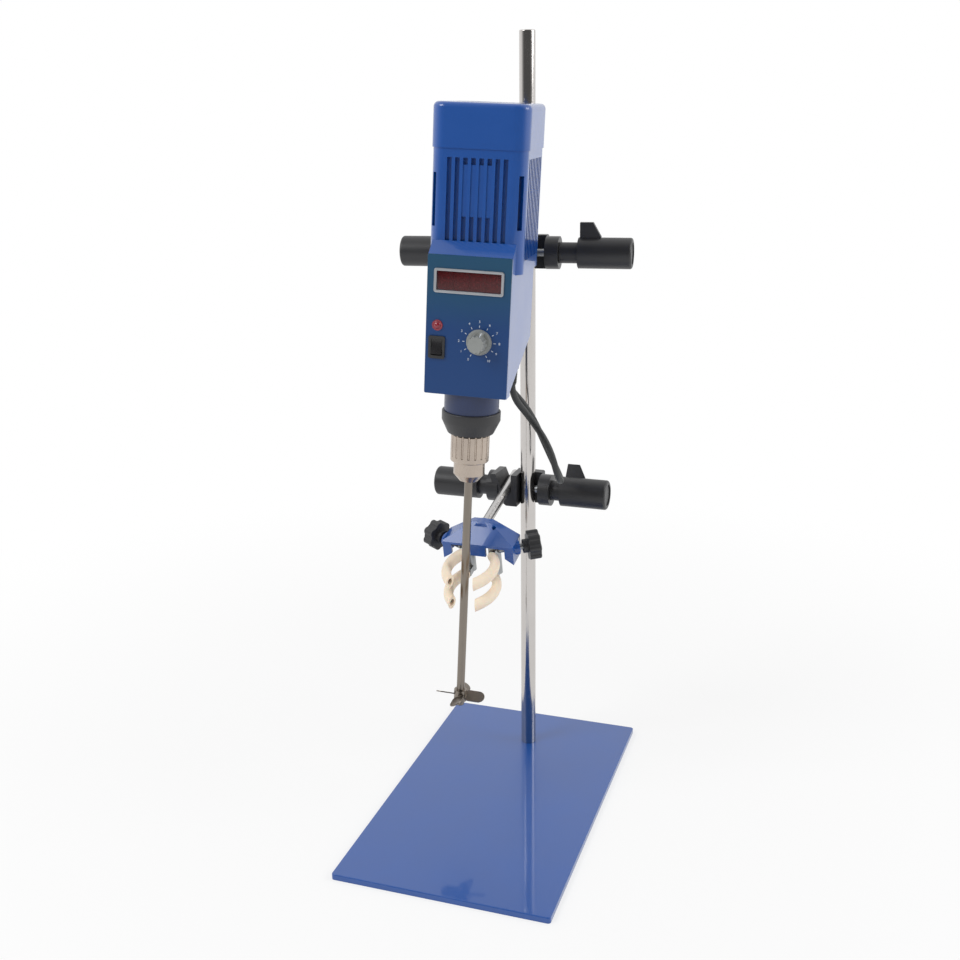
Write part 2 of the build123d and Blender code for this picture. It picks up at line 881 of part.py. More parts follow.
for number in range(jaw_count):
    with BuildPart() as jaw:
        with BuildSketch(at(jaw_plane(number), z=free_gap)):
            Circle(jaw_radius)
        extrude(amount=jaw_length)
        with BuildSketch(level(spindle_frame, z=nose_bottom - cut_past)):
            Circle(shaft_radius + jaw_grip_gap)
        extrude(amount=jaw_length + jaw_radius, mode=Mode.SUBTRACT)
    keep(f"chuck_jaw_{number + 1}", jaw.part)

with BuildPart() as stir_shaft:
    with BuildSketch(level(spindle_frame, z=shaft_tip)):
        Circle(shaft_radius)
    extrude(amount=nose_bottom + shaft_grip - shaft_tip)
    chamfer(stir_shaft.edges().filter_by(GeomType.CIRCLE), shaft_chamfer)
keep("stir_shaft", stir_shaft.part)

with BuildPart() as propeller:
    for number in range(blade_count):
        turned = Location((0, 0, hub_center), (0, 0, number * 360 / blade_count))
        pitched = Location((0, 0, 0), (blade_pitch, 0, 0))
        with BuildSketch(Plane(spindle_frame.location * turned * pitched)):
            with Locations(((blade_radius + hub_radius / 2) / 2, 0)):
                SlotOverall(blade_radius - hub_radius / 2, blade_width)
        extrude(amount=blade_thickness / 2, both=True)
    with BuildSketch(level(spindle_frame, z=hub_center - hub_height / 2)):
        Circle(hub_radius)
    extrude(amount=hub_height)
    with BuildSketch(level(spindle_frame, z=hub_center - hub_height / 2)):
        Circle(shaft_radius)
    extrude(amount=hub_height, mode=Mode.SUBTRACT)
keep("propeller", propeller.part)

# Motor
motor_body_top = motor_height - bell_thickness

with BuildPart() as motor_body:
    with BuildSketch(motor_frame):
        RectangleRounded(2 * motor_half, 2 * motor_half, motor_corner)
    extrude(amount=motor_body_top)
    # Cooling fins on all four sides, and slots at the corners that show the long bolts
    with BuildSketch(at(motor_frame, z=foot_thickness)):
        with PolarLocations(motor_half, 4):
            with GridLocations(0, fin_pitch, 1, 2 * fins_per_half_count):
                Rectangle(2 * fin_depth, fin_gap)
    extrude(amount=motor_body_top - foot_thickness, mode=Mode.SUBTRACT)
    with BuildSketch(at(motor_frame, z=bolt_slot_low)):
        with PolarLocations(math.hypot(bolt_offset, bolt_offset) + motor_corner / 2, 4, start_angle=45):
            SlotOverall(2 * motor_corner, bolt_slot_width)
    extrude(amount=bolt_slot_high - bolt_slot_low, mode=Mode.SUBTRACT)
    # Plain pad on the upper half of the front
    with BuildSketch(facing(head, y=-motor_reach - motor_half + fin_depth + plain_seat)):
        with Locations((0, box_top + motor_body_top - plain_below_top - plain_height / 2)):
            Rectangle(4 * fin_pitch - fin_gap / 2, plain_height)
    extrude(amount=fin_depth)
    # Inside
    with BuildSketch(at(motor_frame, z=foot_thickness)):
        Circle(motor_bore)
    extrude(amount=motor_height, mode=Mode.SUBTRACT)
    with BuildSketch(at(motor_frame, z=foot_thickness - bearing_thickness)):
        Circle(motor_bearing_radius)
    extrude(amount=bearing_thickness, mode=Mode.SUBTRACT)
    with BuildSketch(motor_frame):
        Circle(motor_shaft_radius + loose_gap)
        with Locations(*bolt_places):
            Circle(bolt_radius)
    extrude(amount=motor_height, mode=Mode.SUBTRACT)
keep("motor_body", motor_body.part)

with BuildPart() as motor_end_bell:
    with BuildSketch(at(motor_frame, z=motor_body_top)):
        RectangleRounded(2 * motor_half, 2 * motor_half, motor_corner)
    extrude(amount=bell_thickness)
    with BuildSketch(at(motor_frame, z=motor_height)):
        RectangleRounded(2 * spigot_half, 2 * spigot_half, cover_corner - cover_wall)
    extrude(amount=bell_spigot)
    with BuildSketch(at(motor_frame, z=motor_body_top)):
        Circle(motor_bearing_radius)
    extrude(amount=bearing_thickness, mode=Mode.SUBTRACT)
    with BuildSketch(at(motor_frame, z=motor_body_top)):
        Circle(motor_shaft_radius + loose_gap)
        with Locations(*bolt_places):
            Circle(bolt_radius)
    extrude(amount=bell_thickness + bell_spigot, mode=Mode.SUBTRACT)
keep("motor_end_bell", motor_end_bell.part)

with BuildPart() as motor_bolts:
    with BuildSketch(at(motor_frame, z=-bolt_thread)):
        with Locations(*bolt_places):
            Circle(bolt_radius)
    extrude(amount=bolt_thread + motor_height + bell_spigot)
    with BuildSketch(at(motor_frame, z=motor_height + bell_spigot)):
        with Locations(*bolt_places):
            RegularPolygon(bolt_head_radius, 6)
    extrude(amount=bolt_head_height)
keep("motor_bolts", motor_bolts.part)

stator_bottom = (foot_thickness + motor_body_top - stator_height) / 2

with BuildPart() as stator:
    with BuildSketch(at(motor_frame, z=stator_bottom)):
        Circle(motor_bore)
        Circle(stator_inner, mode=Mode.SUBTRACT)
    extrude(amount=stator_height)
    for end in (stator_bottom - winding_height, stator_bottom + stator_height):
        with BuildSketch(at(motor_frame, z=end)):
            Circle(motor_bore - winding_inset)
            Circle(stator_inner + winding_inset, mode=Mode.SUBTRACT)
        extrude(amount=winding_height)
keep("stator", stator.part)

with BuildPart() as rotor:
    add(spur_gear(pinion_plane, pinion_teeth, gear_thickness, pinion_turn))
    with BuildSketch(at(pinion_plane, z=gear_thickness)):
        Circle(motor_shaft_radius)
    extrude(amount=box_top + motor_height + bell_spigot + fan_gap + fan_height - gear_top)
    with BuildSketch(at(motor_frame, z=stator_bottom)):
        Circle(stator_inner - air_gap)
    extrude(amount=stator_height)
keep("rotor", rotor.part)

with BuildPart() as motor_bearings:
    for height in (foot_thickness - bearing_thickness, motor_body_top):
        with BuildSketch(at(motor_frame, z=height)):
            Circle(motor_bearing_radius)
            Circle(motor_shaft_radius + running_gap, mode=Mode.SUBTRACT)
        extrude(amount=bearing_thickness)
keep("motor_bearings", motor_bearings.part)

fan_bottom = motor_height + bell_spigot + bolt_head_height + fan_gap

with BuildPart() as cooling_fan:
    with BuildSketch(at(motor_frame, z=fan_bottom)):
        Circle(fan_radius)
    extrude(amount=fan_blade)
    with BuildSketch(at(motor_frame, z=fan_bottom)):
        Circle(fan_hub_radius)
        with PolarLocations((fan_radius + fan_hub_radius - fan_seat) / 2, fan_blade_count):
            Rectangle(fan_radius - fan_hub_radius + fan_seat - free_gap, fan_blade)
    extrude(amount=fan_height - fan_gap - bolt_head_height)
    with BuildSketch(at(motor_frame, z=fan_bottom)):
        Circle(motor_shaft_radius)
    extrude(amount=fan_height, mode=Mode.SUBTRACT)
keep("cooling_fan", cooling_fan.part)

with BuildPart() as fan_cover:
    with BuildSketch(at(motor_frame, z=motor_height)):
        RectangleRounded(2 * cover_half, 2 * cover_half, cover_corner)
    extrude(amount=cover_height)
    fillet(fan_cover.faces().sort_by(axis_of(motor_frame))[-1].edges(), cover_round)
    with BuildSketch(at(motor_frame, z=motor_height)):
        RectangleRounded(2 * spigot_half, 2 * spigot_half, cover_corner - cover_wall)
    extrude(amount=cover_height - cover_wall, mode=Mode.SUBTRACT)
    with BuildSketch(at(motor_frame, z=motor_height)):
        with GridLocations(0, slot_pitch, 1, slot_count):
            SlotOverall(slot_length, slot_width)
    extrude(amount=2 * cover_height, mode=Mode.SUBTRACT)
keep("fan_cover", fan_cover.part)

# Front panel and what is mounted in it
panel_back = -front_reach + panel_thickness
panel_middle = (box_front_top + box_bottom) / 2

with BuildPart() as front_panel:
    with BuildSketch(facing(head, y=panel_back)):
        with Locations((0, panel_middle)):
            RectangleRounded(2 * box_half_width, box_front_top - box_bottom, panel_corner)
        with Locations((0, window_z)):
            Rectangle(window_width, window_height, mode=Mode.SUBTRACT)
        with Locations((lamp_x, lamp_z)):
            Circle(lamp_radius, mode=Mode.SUBTRACT)
        with Locations((dial_x, dial_z)):
            Circle(dial_bush_radius, mode=Mode.SUBTRACT)
        with Locations((switch_x, switch_z)):
            Rectangle(switch_width - 2 * switch_rim, switch_height - 2 * switch_rim, mode=Mode.SUBTRACT)
    extrude(amount=panel_thickness)
keep("front_panel", front_panel.part)

with BuildPart() as display_bezel:
    with BuildSketch(facing(head, y=-front_reach)):
        with Locations((0, window_z)):
            RectangleRounded(window_width + 2 * bezel_rim, window_height + 2 * bezel_rim, bezel_rim)
            Rectangle(window_width, window_height, mode=Mode.SUBTRACT)
    extrude(amount=bezel_height)
keep("display_bezel", display_bezel.part)

with BuildPart() as display_window:
    with BuildSketch(facing(head, y=panel_back)):
        with Locations((0, window_z)):
            Rectangle(window_width, window_height)
    extrude(amount=window_thickness)
keep("display_window", display_window.part)

with BuildPart() as display_board:
    with BuildSketch(facing(head, y=panel_back + digit_depth + board_thickness)):
        with Locations((0, window_z)):
            Rectangle(window_width + 4 * bezel_rim, window_height + 2 * bezel_rim)
    extrude(amount=board_thickness)
    with BuildSketch(facing(head, y=panel_back + digit_depth)):
        with Locations((0, window_z)):
            with GridLocations(digit_pitch, 0, digit_count, 1):
                Rectangle(digit_width, digit_height)
    extrude(amount=digit_depth)
keep("display_board", display_board.part)

with BuildPart() as pilot_lamp:
    with BuildSketch(facing(head, y=panel_back + lamp_depth)):
        with Locations((lamp_x, lamp_z)):
            Circle(lamp_radius)
    extrude(amount=lamp_depth + panel_thickness)
    with BuildSketch(facing(head, y=-front_reach)):
        with Locations((lamp_x, lamp_z)):
            Circle(lamp_radius + lamp_rim)
    extrude(amount=lamp_rim)
    with Locations(facing(head, x=lamp_x, y=-front_reach - lamp_rim, z=lamp_z)):
        Sphere(lamp_radius, arc_size1=0)
keep("pilot_lamp", pilot_lamp.part)

rocker_frame = at(head, switch_x, -front_reach + rocker_axle_set_in, switch_z, (-rocker_tilt, 0, 0))

with BuildPart() as switch_housing:
    with BuildSketch(facing(head, y=-front_reach)):
        with Locations((switch_x, switch_z)):
            RectangleRounded(switch_width, switch_height, switch_rim)
    extrude(amount=switch_rim)
    with BuildSketch(facing(head, y=panel_back + switch_depth)):
        with Locations((switch_x, switch_z)):
            Rectangle(switch_width - 2 * switch_rim, switch_height - 2 * switch_rim)
    extrude(amount=switch_depth + panel_thickness)
    with BuildSketch(facing(head, y=-front_reach + switch_depth / 2)):
        with Locations((switch_x, switch_z)):
            Rectangle(rocker_width + 2 * free_gap, rocker_height + 4 * free_gap)
    extrude(amount=switch_depth, mode=Mode.SUBTRACT)
    with BuildSketch(sideways(rocker_frame)):
        Circle(rocker_axle_radius + running_gap)
    extrude(amount=switch_width / 2 - switch_rim, both=True, mode=Mode.SUBTRACT)
keep("switch_housing", switch_housing.part)

with BuildPart() as power_rocker:
    with BuildSketch(sideways(rocker_frame, x=-rocker_width / 2, y=-rocker_axle_set_in)):
        with BuildLine():
            Polyline(
                (-rocker_proud, rocker_height / 2),
                (-rocker_dip, 0),
                (-rocker_proud, -rocker_height / 2),
                (rocker_proud, -rocker_height / 4),
                (rocker_proud, rocker_height / 4),
                close=True,
            )
        make_face()
    extrude(amount=rocker_width)
    with BuildSketch(sideways(rocker_frame)):
        Circle(rocker_axle_radius)
    extrude(amount=rocker_width / 2 + free_gap + rocker_axle_seat, both=True)
keep("power_rocker", power_rocker.part)

with BuildPart() as speed_control:
    with BuildSketch(facing(head, y=panel_back + dial_body_depth)):
        with Locations((dial_x, dial_z)):
            Circle(dial_body_radius)
    extrude(amount=dial_body_depth)
    with BuildSketch(facing(head, y=panel_back)):
        with Locations((dial_x, dial_z)):
            Circle(dial_bush_radius)
    extrude(amount=panel_thickness + dial_bush_proud)
    with BuildSketch(facing(head, y=panel_back + dial_body_depth - dial_floor)):
        with Locations((dial_x, dial_z)):
            Circle(dial_shaft_radius + running_gap)
    extrude(amount=3 * dial_body_depth, mode=Mode.SUBTRACT)
keep("speed_control", speed_control.part)

dial_frame = at(head, x=dial_x, y=-front_reach, z=dial_z, turn=(0, pointer_angle, 0))

with BuildPart() as speed_knob:
    with BuildSketch(facing(dial_frame, y=-free_gap)):
        Circle(skirt_radius)
    extrude(amount=skirt_height, taper=skirt_taper)
    with BuildSketch(facing(dial_frame, y=-free_gap)):
        Circle(knob_top_radius)
        with PolarLocations(knob_top_radius, flute_count):
            Circle(flute_radius, mode=Mode.SUBTRACT)
    extrude(amount=knob_height, taper=flute_taper)
    with BuildSketch(facing(dial_frame, y=-free_gap)):
        with Locations((0, skirt_radius / 2)):
            Rectangle(pointer_width, skirt_radius)
    extrude(amount=knob_height - skirt_height)
    with BuildSketch(facing(dial_frame, y=-free_gap)):
        Circle(dial_bush_radius + free_gap)
    extrude(amount=dial_bush_proud, mode=Mode.SUBTRACT)
    with BuildSketch(facing(dial_frame, y=panel_thickness + dial_body_depth - dial_floor - free_gap)):
        Circle(dial_shaft_radius)
    extrude(amount=dial_body_depth + panel_thickness + skirt_height)
keep("speed_knob", speed_knob.part)

# Flask clamp: rod, arched head, two pairs of prongs with rubber sleeves and their star knobs
with BuildPart() as flask_rod:
    with BuildSketch(facing(flask, y=-flask_rod_start)):
        Circle(lower.rod_radius)
    extrude(amount=flask_rod_end - flask_rod_start)
    chamfer(flask_rod.edges().filter_by(GeomType.CIRCLE), column_chamfer)
keep("flask_rod", flask_rod.part)

star_sides = {"left": -1, "right": 1}


def screw_line(side):
    """The frame of one star screw: its tip at the prongs, its axis running out to the knob."""
    turned = at(flask, side * screw_contact_x, -contact_reach, screw_line_z,
                (0, 0, side * screw_line_angle))
    return at(turned, turn=(0, side * 90, 0))


def arch(inset):
    """The flask clamp's head seen from the front."""
    half = flask_head_half - inset
    with BuildSketch() as outline:
        with BuildLine():
            Polyline(
                (-half, flask_foot),
                (-half, flask_shoulder - inset),
                (-flask_crown_half, flask_crown - inset),
                (flask_crown_half, flask_crown - inset),
                (half, flask_shoulder - inset),
                (half, flask_foot),
                (notch_outer, flask_middle_foot),
                (-notch_outer, flask_middle_foot),
                close=True,
            )
        make_face()
    return outline.sketch


with BuildPart() as flask_head:
    with BuildSketch(facing(flask, y=-flask_head_back)):
        add(arch(0))
    extrude(amount=flask_head_front - flask_head_back)
    with BuildSketch(sideways(flask, x=-flask_head_half)):
        with BuildLine():
            Polyline(
                (-flask_head_back, flask_foot),
                (-flask_head_back, flask_crown),
                (-flask_head_back - flask_crown_depth, flask_crown),
                (-flask_head_front, flask_front_top),
                (-flask_head_front, flask_foot),
                close=True,
            )
        make_face()
    extrude(amount=2 * flask_head_half, mode=Mode.INTERSECT)
    # Hollow underside that the prongs turn in, and the openings that they come out of
    with BuildSketch(level(flask, z=flask_foot)):
        with Locations((0, -(flask_head_back + flask_head_front) / 2)):
            Rectangle(2 * (flask_head_half - flask_wall), flask_head_front - flask_head_back - 2 * flask_wall)
    extrude(amount=hollow_top - flask_foot, mode=Mode.SUBTRACT)
    with BuildSketch(facing(flask, y=-flask_head_front + 2 * flask_wall)):
        for side in star_sides.values():
            with Locations((side * (notch_inner + notch_outer) / 2, (notch_top + flask_foot) / 2)):
                Rectangle(notch_outer - notch_inner, notch_top - flask_foot)
    extrude(amount=3 * flask_wall, mode=Mode.SUBTRACT)
    # Socket for the rod, bosses for the star screws and holes for the pivot pins
    with BuildSketch(facing(flask, y=-flask_head_back)):
        Circle(lower.rod_radius + socket_wall)
    extrude(amount=flask_rod_end - flask_head_back + socket_wall)
    with BuildSketch(facing(flask, y=-flask_head_back + cut_past)):
        Circle(lower.rod_radius)
    extrude(amount=flask_rod_end - flask_head_back + cut_past, mode=Mode.SUBTRACT)
    for side in star_sides.values():
        with BuildSketch(at(screw_line(side), z=star_boss_end - star_boss_length)):
            Circle(star_boss_radius)
        extrude(amount=star_boss_length)
        with BuildSketch(screw_line(side)):
            Circle(star_screw_radius + running_gap)
        extrude(amount=star_center, mode=Mode.SUBTRACT)
    with BuildSketch(level(flask, z=flask_foot)):
        with Locations((pivot_x, -pivot_reach), (-pivot_x, -pivot_reach)):
            Circle(pin_radius)
    extrude(amount=flask_crown - flask_foot, mode=Mode.SUBTRACT)
keep("flask_head", flask_head.part)

post_top = hollow_top - free_gap
post_bottom = prong_heights[1] - web_width / 2

with BuildPart() as jaw_pins:
    with BuildSketch(level(flask, z=post_bottom)):
        with Locations((pivot_x, -pivot_reach), (-pivot_x, -pivot_reach)):
            Circle(pin_radius)
    extrude(amount=hollow_top + pin_seat - post_bottom)
keep("jaw_pins", jaw_pins.part)

def prong_path(side, height, start, over):
    """The line of one prong: straight out of its post, one curve, and straight on past its tip."""
    root = (side * pivot_x, -prong_root)
    tip = (side * (pivot_x + prong_tip_out), -prong_tip_reach)
    with BuildLine(at(flask, z=height)) as path:
        Line((side * pivot_x, -start), root)
        curve = ThreePointArc(root, (side * (pivot_x + prong_bulge), -prong_bulge_reach), tip)
        if over:
            Line(curve @ 1, curve @ 1 + (curve % 1) * over)
    return path.line


def flask_jaw(side):
    """A post on its pin with two prongs, joined to it by short webs."""
    bore = level(flask, x=side * pivot_x, y=-pivot_reach, z=post_bottom)
    web_reach = (pivot_reach + prong_root) / 2
    paths = [prong_path(side, height, prong_root - prong_seat, 0) for height in prong_heights]
    with BuildPart() as jaw:
        with BuildSketch(bore):
            Circle(post_radius)
        extrude(amount=post_top - post_bottom)
        for height, path, top in zip(prong_heights, paths, (web_top, web_width / 2 + prong_heights[1])):
            with BuildSketch(level(flask, side * pivot_x, -web_reach, height - web_width / 2)):
                Rectangle(web_width, prong_root - pivot_reach)
            extrude(amount=top - height + web_width / 2)
            with BuildSketch(facing(flask, side * pivot_x, -prong_root + prong_seat, height)):
                Circle(prong_radius)
            sweep(path=path)
        with BuildSketch(bore):
            Circle(pin_radius + running_gap)
        extrude(amount=post_top - post_bottom, mode=Mode.SUBTRACT)
    return jaw.part


def prong_sleeves(side):
    """The rubber tubes on one pair of prongs, open where they reach past the tips."""
    paths = [prong_path(side, height, prong_root - prong_seat, sleeve_over) for height in prong_heights]
    with BuildPart() as sleeves:
        for height, path in zip(prong_heights, paths):
            with BuildSketch(facing(flask, side * pivot_x, -prong_root + prong_seat, height)):
                Circle(sleeve_outer)
                Circle(prong_radius + running_gap, mode=Mode.SUBTRACT)
            sweep(path=path)
        split(bisect_by=facing(flask, y=-sleeve_start), keep=Keep.TOP)
    return sleeves.part


def star_screw(side):
    """The screw that presses on a jaw's web, with a domed end."""
    with BuildPart() as screw:
        with BuildSketch(at(screw_line(side), z=star_screw_radius)):
            Circle(star_screw_radius)
        extrude(amount=star_center - star_screw_radius)
        with Locations(at(screw_line(side), z=star_screw_radius)):
            Sphere(star_screw_radius)
    return screw.part


def star_knob(side):
    """A lobed knob with a plain hub towards the clamp."""
    with BuildPart() as knob:
        with BuildSketch(at(screw_line(side), z=star_center - star_thickness / 2)):
            Circle(star_radius - star_lobe_radius / 2)
            with PolarLocations(star_radius - star_lobe_radius, lobe_count):
                Circle(star_lobe_radius)
        extrude(amount=star_thickness)
        chamfer(knob.edges().filter_by(GeomType.CIRCLE).group_by(axis_of(screw_line(side)))[-1], star_edge)
        with BuildSketch(at(screw_line(side), z=star_center - star_thickness / 2 - star_hub_length)):
            Circle(star_hub_radius)
        extrude(amount=star_hub_length)
        with BuildSketch(screw_line(side)):
            Circle(star_screw_radius + running_gap)
        extrude(amount=star_center + running_gap, mode=Mode.SUBTRACT)
    return knob.part


for name, side in star_sides.items():
    keep(name + "_jaw", flask_jaw(side))
    keep(name + "_sleeves", prong_sleeves(side))
    keep(name + "_star_screw", star_screw(side))
    keep(name + "_star_knob", star_knob(side))

# Mains lead: gland, hanging loop, hank over the bracket's lug, and plug
with BuildPart() as cord_gland:
    with BuildSketch(at(gland_plane, z=-gland_seat)):
        Circle(gland_radius)
    extrude(amount=gland_seat)
    with BuildSketch(gland_plane):
        Circle(gland_flange)
    extrude(amount=gland_flange_height)
    with BuildSketch(at(gland_plane, z=gland_flange_height)):
        Circle(gland_radius)
    extrude(amount=gland_length - gland_flange_height, taper=gland_taper)
keep("cord_gland", cord_gland.part)


def lead_tube(points, plane):
    """The lead along a line of points, bent round each of them as widely as its runs allow."""
    radii = []
    for before, corner, after in zip(points, points[1:], points[2:]):
        arriving = Vector(*corner) - Vector(*before)
        leaving = Vector(*after) - Vector(*corner)
        half_turn = math.radians(arriving.get_angle(leaving)) / 2
        radii.append(bend_share * min(arriving.length, leaving.length) / math.tan(half_turn))
    print("lead bends", [round(radius, 1) for radius in radii])
    with BuildLine(head) as line:
        FilletPolyline(*points, radius=radii)
    with BuildPart() as tube:
        with BuildSketch(plane):
            Circle(cord_radius)
        sweep(path=line.line)
    section = math.pi * cord_radius ** 2
    print("lead length", round(line.wires()[0].length), "by volume", round(tube.part.volume / section))
    return tube.part


def gland_point(distance):
    """A point in the head's own axes on the gland's line, at a distance below the floor."""
    slant = math.radians(floor_angle)
    return (gland_x, -gland_reach + distance * math.sin(slant), gland_z - distance * math.cos(slant))


hank_inner = hank_fold_radius - cord_radius
hank_outer = hank_inner + 2 * cord_radius * hank_layer_count
hank_middle = (hank_inner + hank_outer) / 2
hank_front = -rear_reach + hank_gap
hank_depth = 2 * cord_radius * hank_row_count
hank_top_center = lug_top + hank_seat - hank_inner
hank_bottom_center = hank_top_center - hank_straight
first_row = hank_front + hank_depth / 2
last_row = hank_front + hank_depth - cord_radius
tail_y = last_row + tail_set_back
tail_end = hank_top_center - 2 * tail_run - tail_slant

lead_path = [gland_point(gland_length), gland_point(gland_length + lead_straight)]
lead_path += [(x, y - rear_reach, z) for x, y, z in lead_loop]
lead_path += [
    (hank_middle, first_row, hank_bottom_center - hank_approach),
    (hank_middle, first_row, hank_bottom_center),
]
tail_path = [
    (-hank_middle, last_row, hank_top_center),
    (-hank_middle, last_row, hank_top_center - tail_run),
    (-hank_middle, tail_y, tail_end + tail_run),
    (-hank_middle, tail_y, tail_end),
]
leg = lead_tube(lead_path, at(gland_plane, z=gland_length))
tail = lead_tube(tail_path, at(head, -hank_middle, last_row, hank_top_center, (180, 0, 0)))

with BuildPart() as mains_lead:
    add(leg)
    add(tail)
keep("mains_lead", mains_lead.part)

with BuildPart() as lead_coil:
    with BuildSketch(facing(head, y=hank_front + hank_depth)):
        with Locations((0, hank_top_center - hank_straight / 2)):
            SlotCenterToCenter(hank_straight, 2 * hank_outer, rotation=90)
            SlotCenterToCenter(hank_straight, 2 * hank_inner, rotation=90, mode=Mode.SUBTRACT)
    extrude(amount=hank_depth)
    fillet(lead_coil.edges().filter_by(facing(head)), hank_round)
keep("lead_coil", lead_coil.part)

plug_plane = at(head, -hank_middle, tail_y, tail_end, (180, 0, 0))

with BuildPart() as mains_plug:
    with BuildSketch(at(plug_plane, z=plug_neck)):
        RectangleRounded(plug_width, plug_depth, plug_round)
    extrude(amount=plug_length)
    fillet(mains_plug.faces().filter_by(plug_plane).edges(), plug_edge)
    with BuildSketch(plug_plane):
        Circle(plug_neck_radius)
    extrude(amount=plug_neck + plug_edge)
    with BuildSketch(at(plug_plane, z=plug_neck + plug_length - plug_edge)):
        for side in star_sides.values():
            with Locations(Location((side * plug_pin_spread, plug_pin_offset, 0), (0, 0, side * plug_pin_angle))):
                Rectangle(plug_pin_thickness, plug_pin_width)
        with Locations((0, -plug_pin_offset)):
            Rectangle(plug_pin_thickness, plug_pin_width)
    extrude(amount=plug_edge + plug_pin_length)
keep("mains_plug", mains_plug.part)

os.makedirs("parts", exist_ok=True)
for name, part in pieces.items():
    export_step(part, f"parts/{name}.step")
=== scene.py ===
# An overhead stirrer on its rod stand: the finishes, the fine pieces and the studio that go round
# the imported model, laid out as an add-on.

import json
import math

import bmesh
import bpy
from bpy.props import FloatProperty, FloatVectorProperty, IntProperty, PointerProperty
from bpy.types import Operator, Panel, PropertyGroup
from mathutils import Matrix, Vector

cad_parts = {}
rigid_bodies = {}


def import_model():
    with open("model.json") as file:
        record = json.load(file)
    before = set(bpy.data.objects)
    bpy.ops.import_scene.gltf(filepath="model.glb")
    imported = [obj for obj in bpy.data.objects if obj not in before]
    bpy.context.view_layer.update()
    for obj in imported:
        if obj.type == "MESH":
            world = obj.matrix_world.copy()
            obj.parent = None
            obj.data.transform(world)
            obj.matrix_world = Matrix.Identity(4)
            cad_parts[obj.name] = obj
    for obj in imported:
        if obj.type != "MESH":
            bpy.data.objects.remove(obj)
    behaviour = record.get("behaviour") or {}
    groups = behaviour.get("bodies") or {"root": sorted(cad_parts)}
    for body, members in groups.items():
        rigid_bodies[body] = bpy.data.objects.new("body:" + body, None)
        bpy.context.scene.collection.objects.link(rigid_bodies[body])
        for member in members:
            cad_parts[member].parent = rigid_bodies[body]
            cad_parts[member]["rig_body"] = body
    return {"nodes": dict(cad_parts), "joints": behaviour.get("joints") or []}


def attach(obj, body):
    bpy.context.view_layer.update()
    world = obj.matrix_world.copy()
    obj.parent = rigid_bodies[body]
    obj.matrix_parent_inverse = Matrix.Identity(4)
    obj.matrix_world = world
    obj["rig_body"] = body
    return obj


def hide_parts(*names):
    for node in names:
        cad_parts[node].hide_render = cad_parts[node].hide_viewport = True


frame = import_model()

bl_info = {
    "name": "Overhead Stirrer",
    "version": (1, 0, 0),
    "blender": (4, 5, 0),
    "location": "3D View > Sidebar > Stirrer",
    "description": "Dresses a laboratory stirrer with its finishes and fine pieces and lights it",
    "category": "Object",
}

# The control panel and the motor in the head's own axes, in millimetres and degrees: right, back
# and up from the support arm
PANEL_FRONT = -160
WINDOW_Z = -8.3
WINDOW_WIDTH = 60
WINDOW_HEIGHT = 17.4
DIAL = (11.5, -62.6)
SCALE_START = -150
SCALE_STEP = 30
NUMERAL_RADIUS = 19
TICK_RADIUS = 14.6
TICK = (0.55, 2.0, 0.08, 1)
PRINT_HEIGHT = 0.05
POINTER_TURN = 22
POINTER_PLACE = (0, 8.3, 11.33)
POINTER_LINE = (0.9, 6.4, 0.1, 1)
ROCKER_TILT = -11
MARK_RISE = 3.6
MARK_LEAN = 14
MARK_HEIGHT = 3.0
DIGIT_PITCH = 15
DIGIT_WIDTH = 12.7
DIGIT_HEIGHT = 16
DIGIT_DEPTH = 3.6
DIGIT_Z = -4.2
BOARD_Z = -6.8
SEGMENT_Z = -2.35
SEGMENT = (2.3, 0.75, 1, 1)
SEGMENT_RAISE = 0.2
MOTOR_FACE = -139.5
RIVET_PLACES = ((-7, 82), (7, 82))

# The mains lead's route in the head's own axes, in metres: from the gland round its hanging loop
# to the hank, the hank's folds, and the tail to the plug
LEAD_LEG = (
    (0.0310, -0.0956, -0.1137),
    (0.0310, -0.0896, -0.1281),
    (0.0449, -0.0727, -0.1500),
    (0.0696, -0.0860, -0.1748),
    (0.0798, -0.0800, -0.2114),
    (0.0773, -0.0420, -0.2230),
    (0.0578, -0.0172, -0.2017),
    (0.0387, -0.0377, -0.1517),
    (0.0103, -0.0409, -0.1249),
    (0.0262, -0.0445, -0.0750),
)
LEAD_TAIL = (
    (-0.0265, -0.0380, -0.0166),
    (-0.0233, -0.0250, -0.0366),
    (-0.0233, -0.0250, -0.0506),
)
HANK_TOP = -0.00255
HANK_FOOT = -0.04455
HANK_CELLS = (
    (0.0265, -0.04475),
    (0.0265, -0.05125),
    (0.0200, -0.05125),
    (0.0200, -0.04475),
    (0.0200, -0.03825),
    (0.0265, -0.03825),
)
FOLD_CORNERS = 5

# The strain relief and the tie round the hank, in the same axes in millimetres
RELIEF_START = (31, -104, -93.37)
RELIEF_AXIS = (0, 0.384, -0.923)
RELIEF_COLLAR = [(0, 0), (7.5, 0), (7.5, 2.6), (7.1, 3.0), (6.3, 3.2)]
RELIEF_END = [(4.2, 21.6), (3.9, 22.0), (0, 22.0)]
RIBS_START = 3.6
RIBS_LENGTH = 17.6
RIB_RADIUS = 6.3
RIB_NARROWING = 1.9
RIB_GROOVE = 0.9
TIE_PLACE = (23.25, -44.75, -27)
TIE_OUTLINE = (13.5, 20, 1, 1)
TIE_CORNER = 3
TIE_WIDTH = 7
TIE_THICKNESS = 0.35

# The camera's angles in degrees, its place in metres and its shift, and the point the lamps face
CAMERA_YAW = 19.86
CAMERA_PITCH = 14.843
CAMERA_ROLL = -1.064
CAMERA_PLACE = (0.35251, -1.10453, 0.7025)
CAMERA_SHIFT = (0.0327, -0.05)
LAMP_AIM = (0, 0.05, 0.4)

# The plug's metal pins start below this height in the head's own axes, in millimetres
PLUG_FACE = -99.6
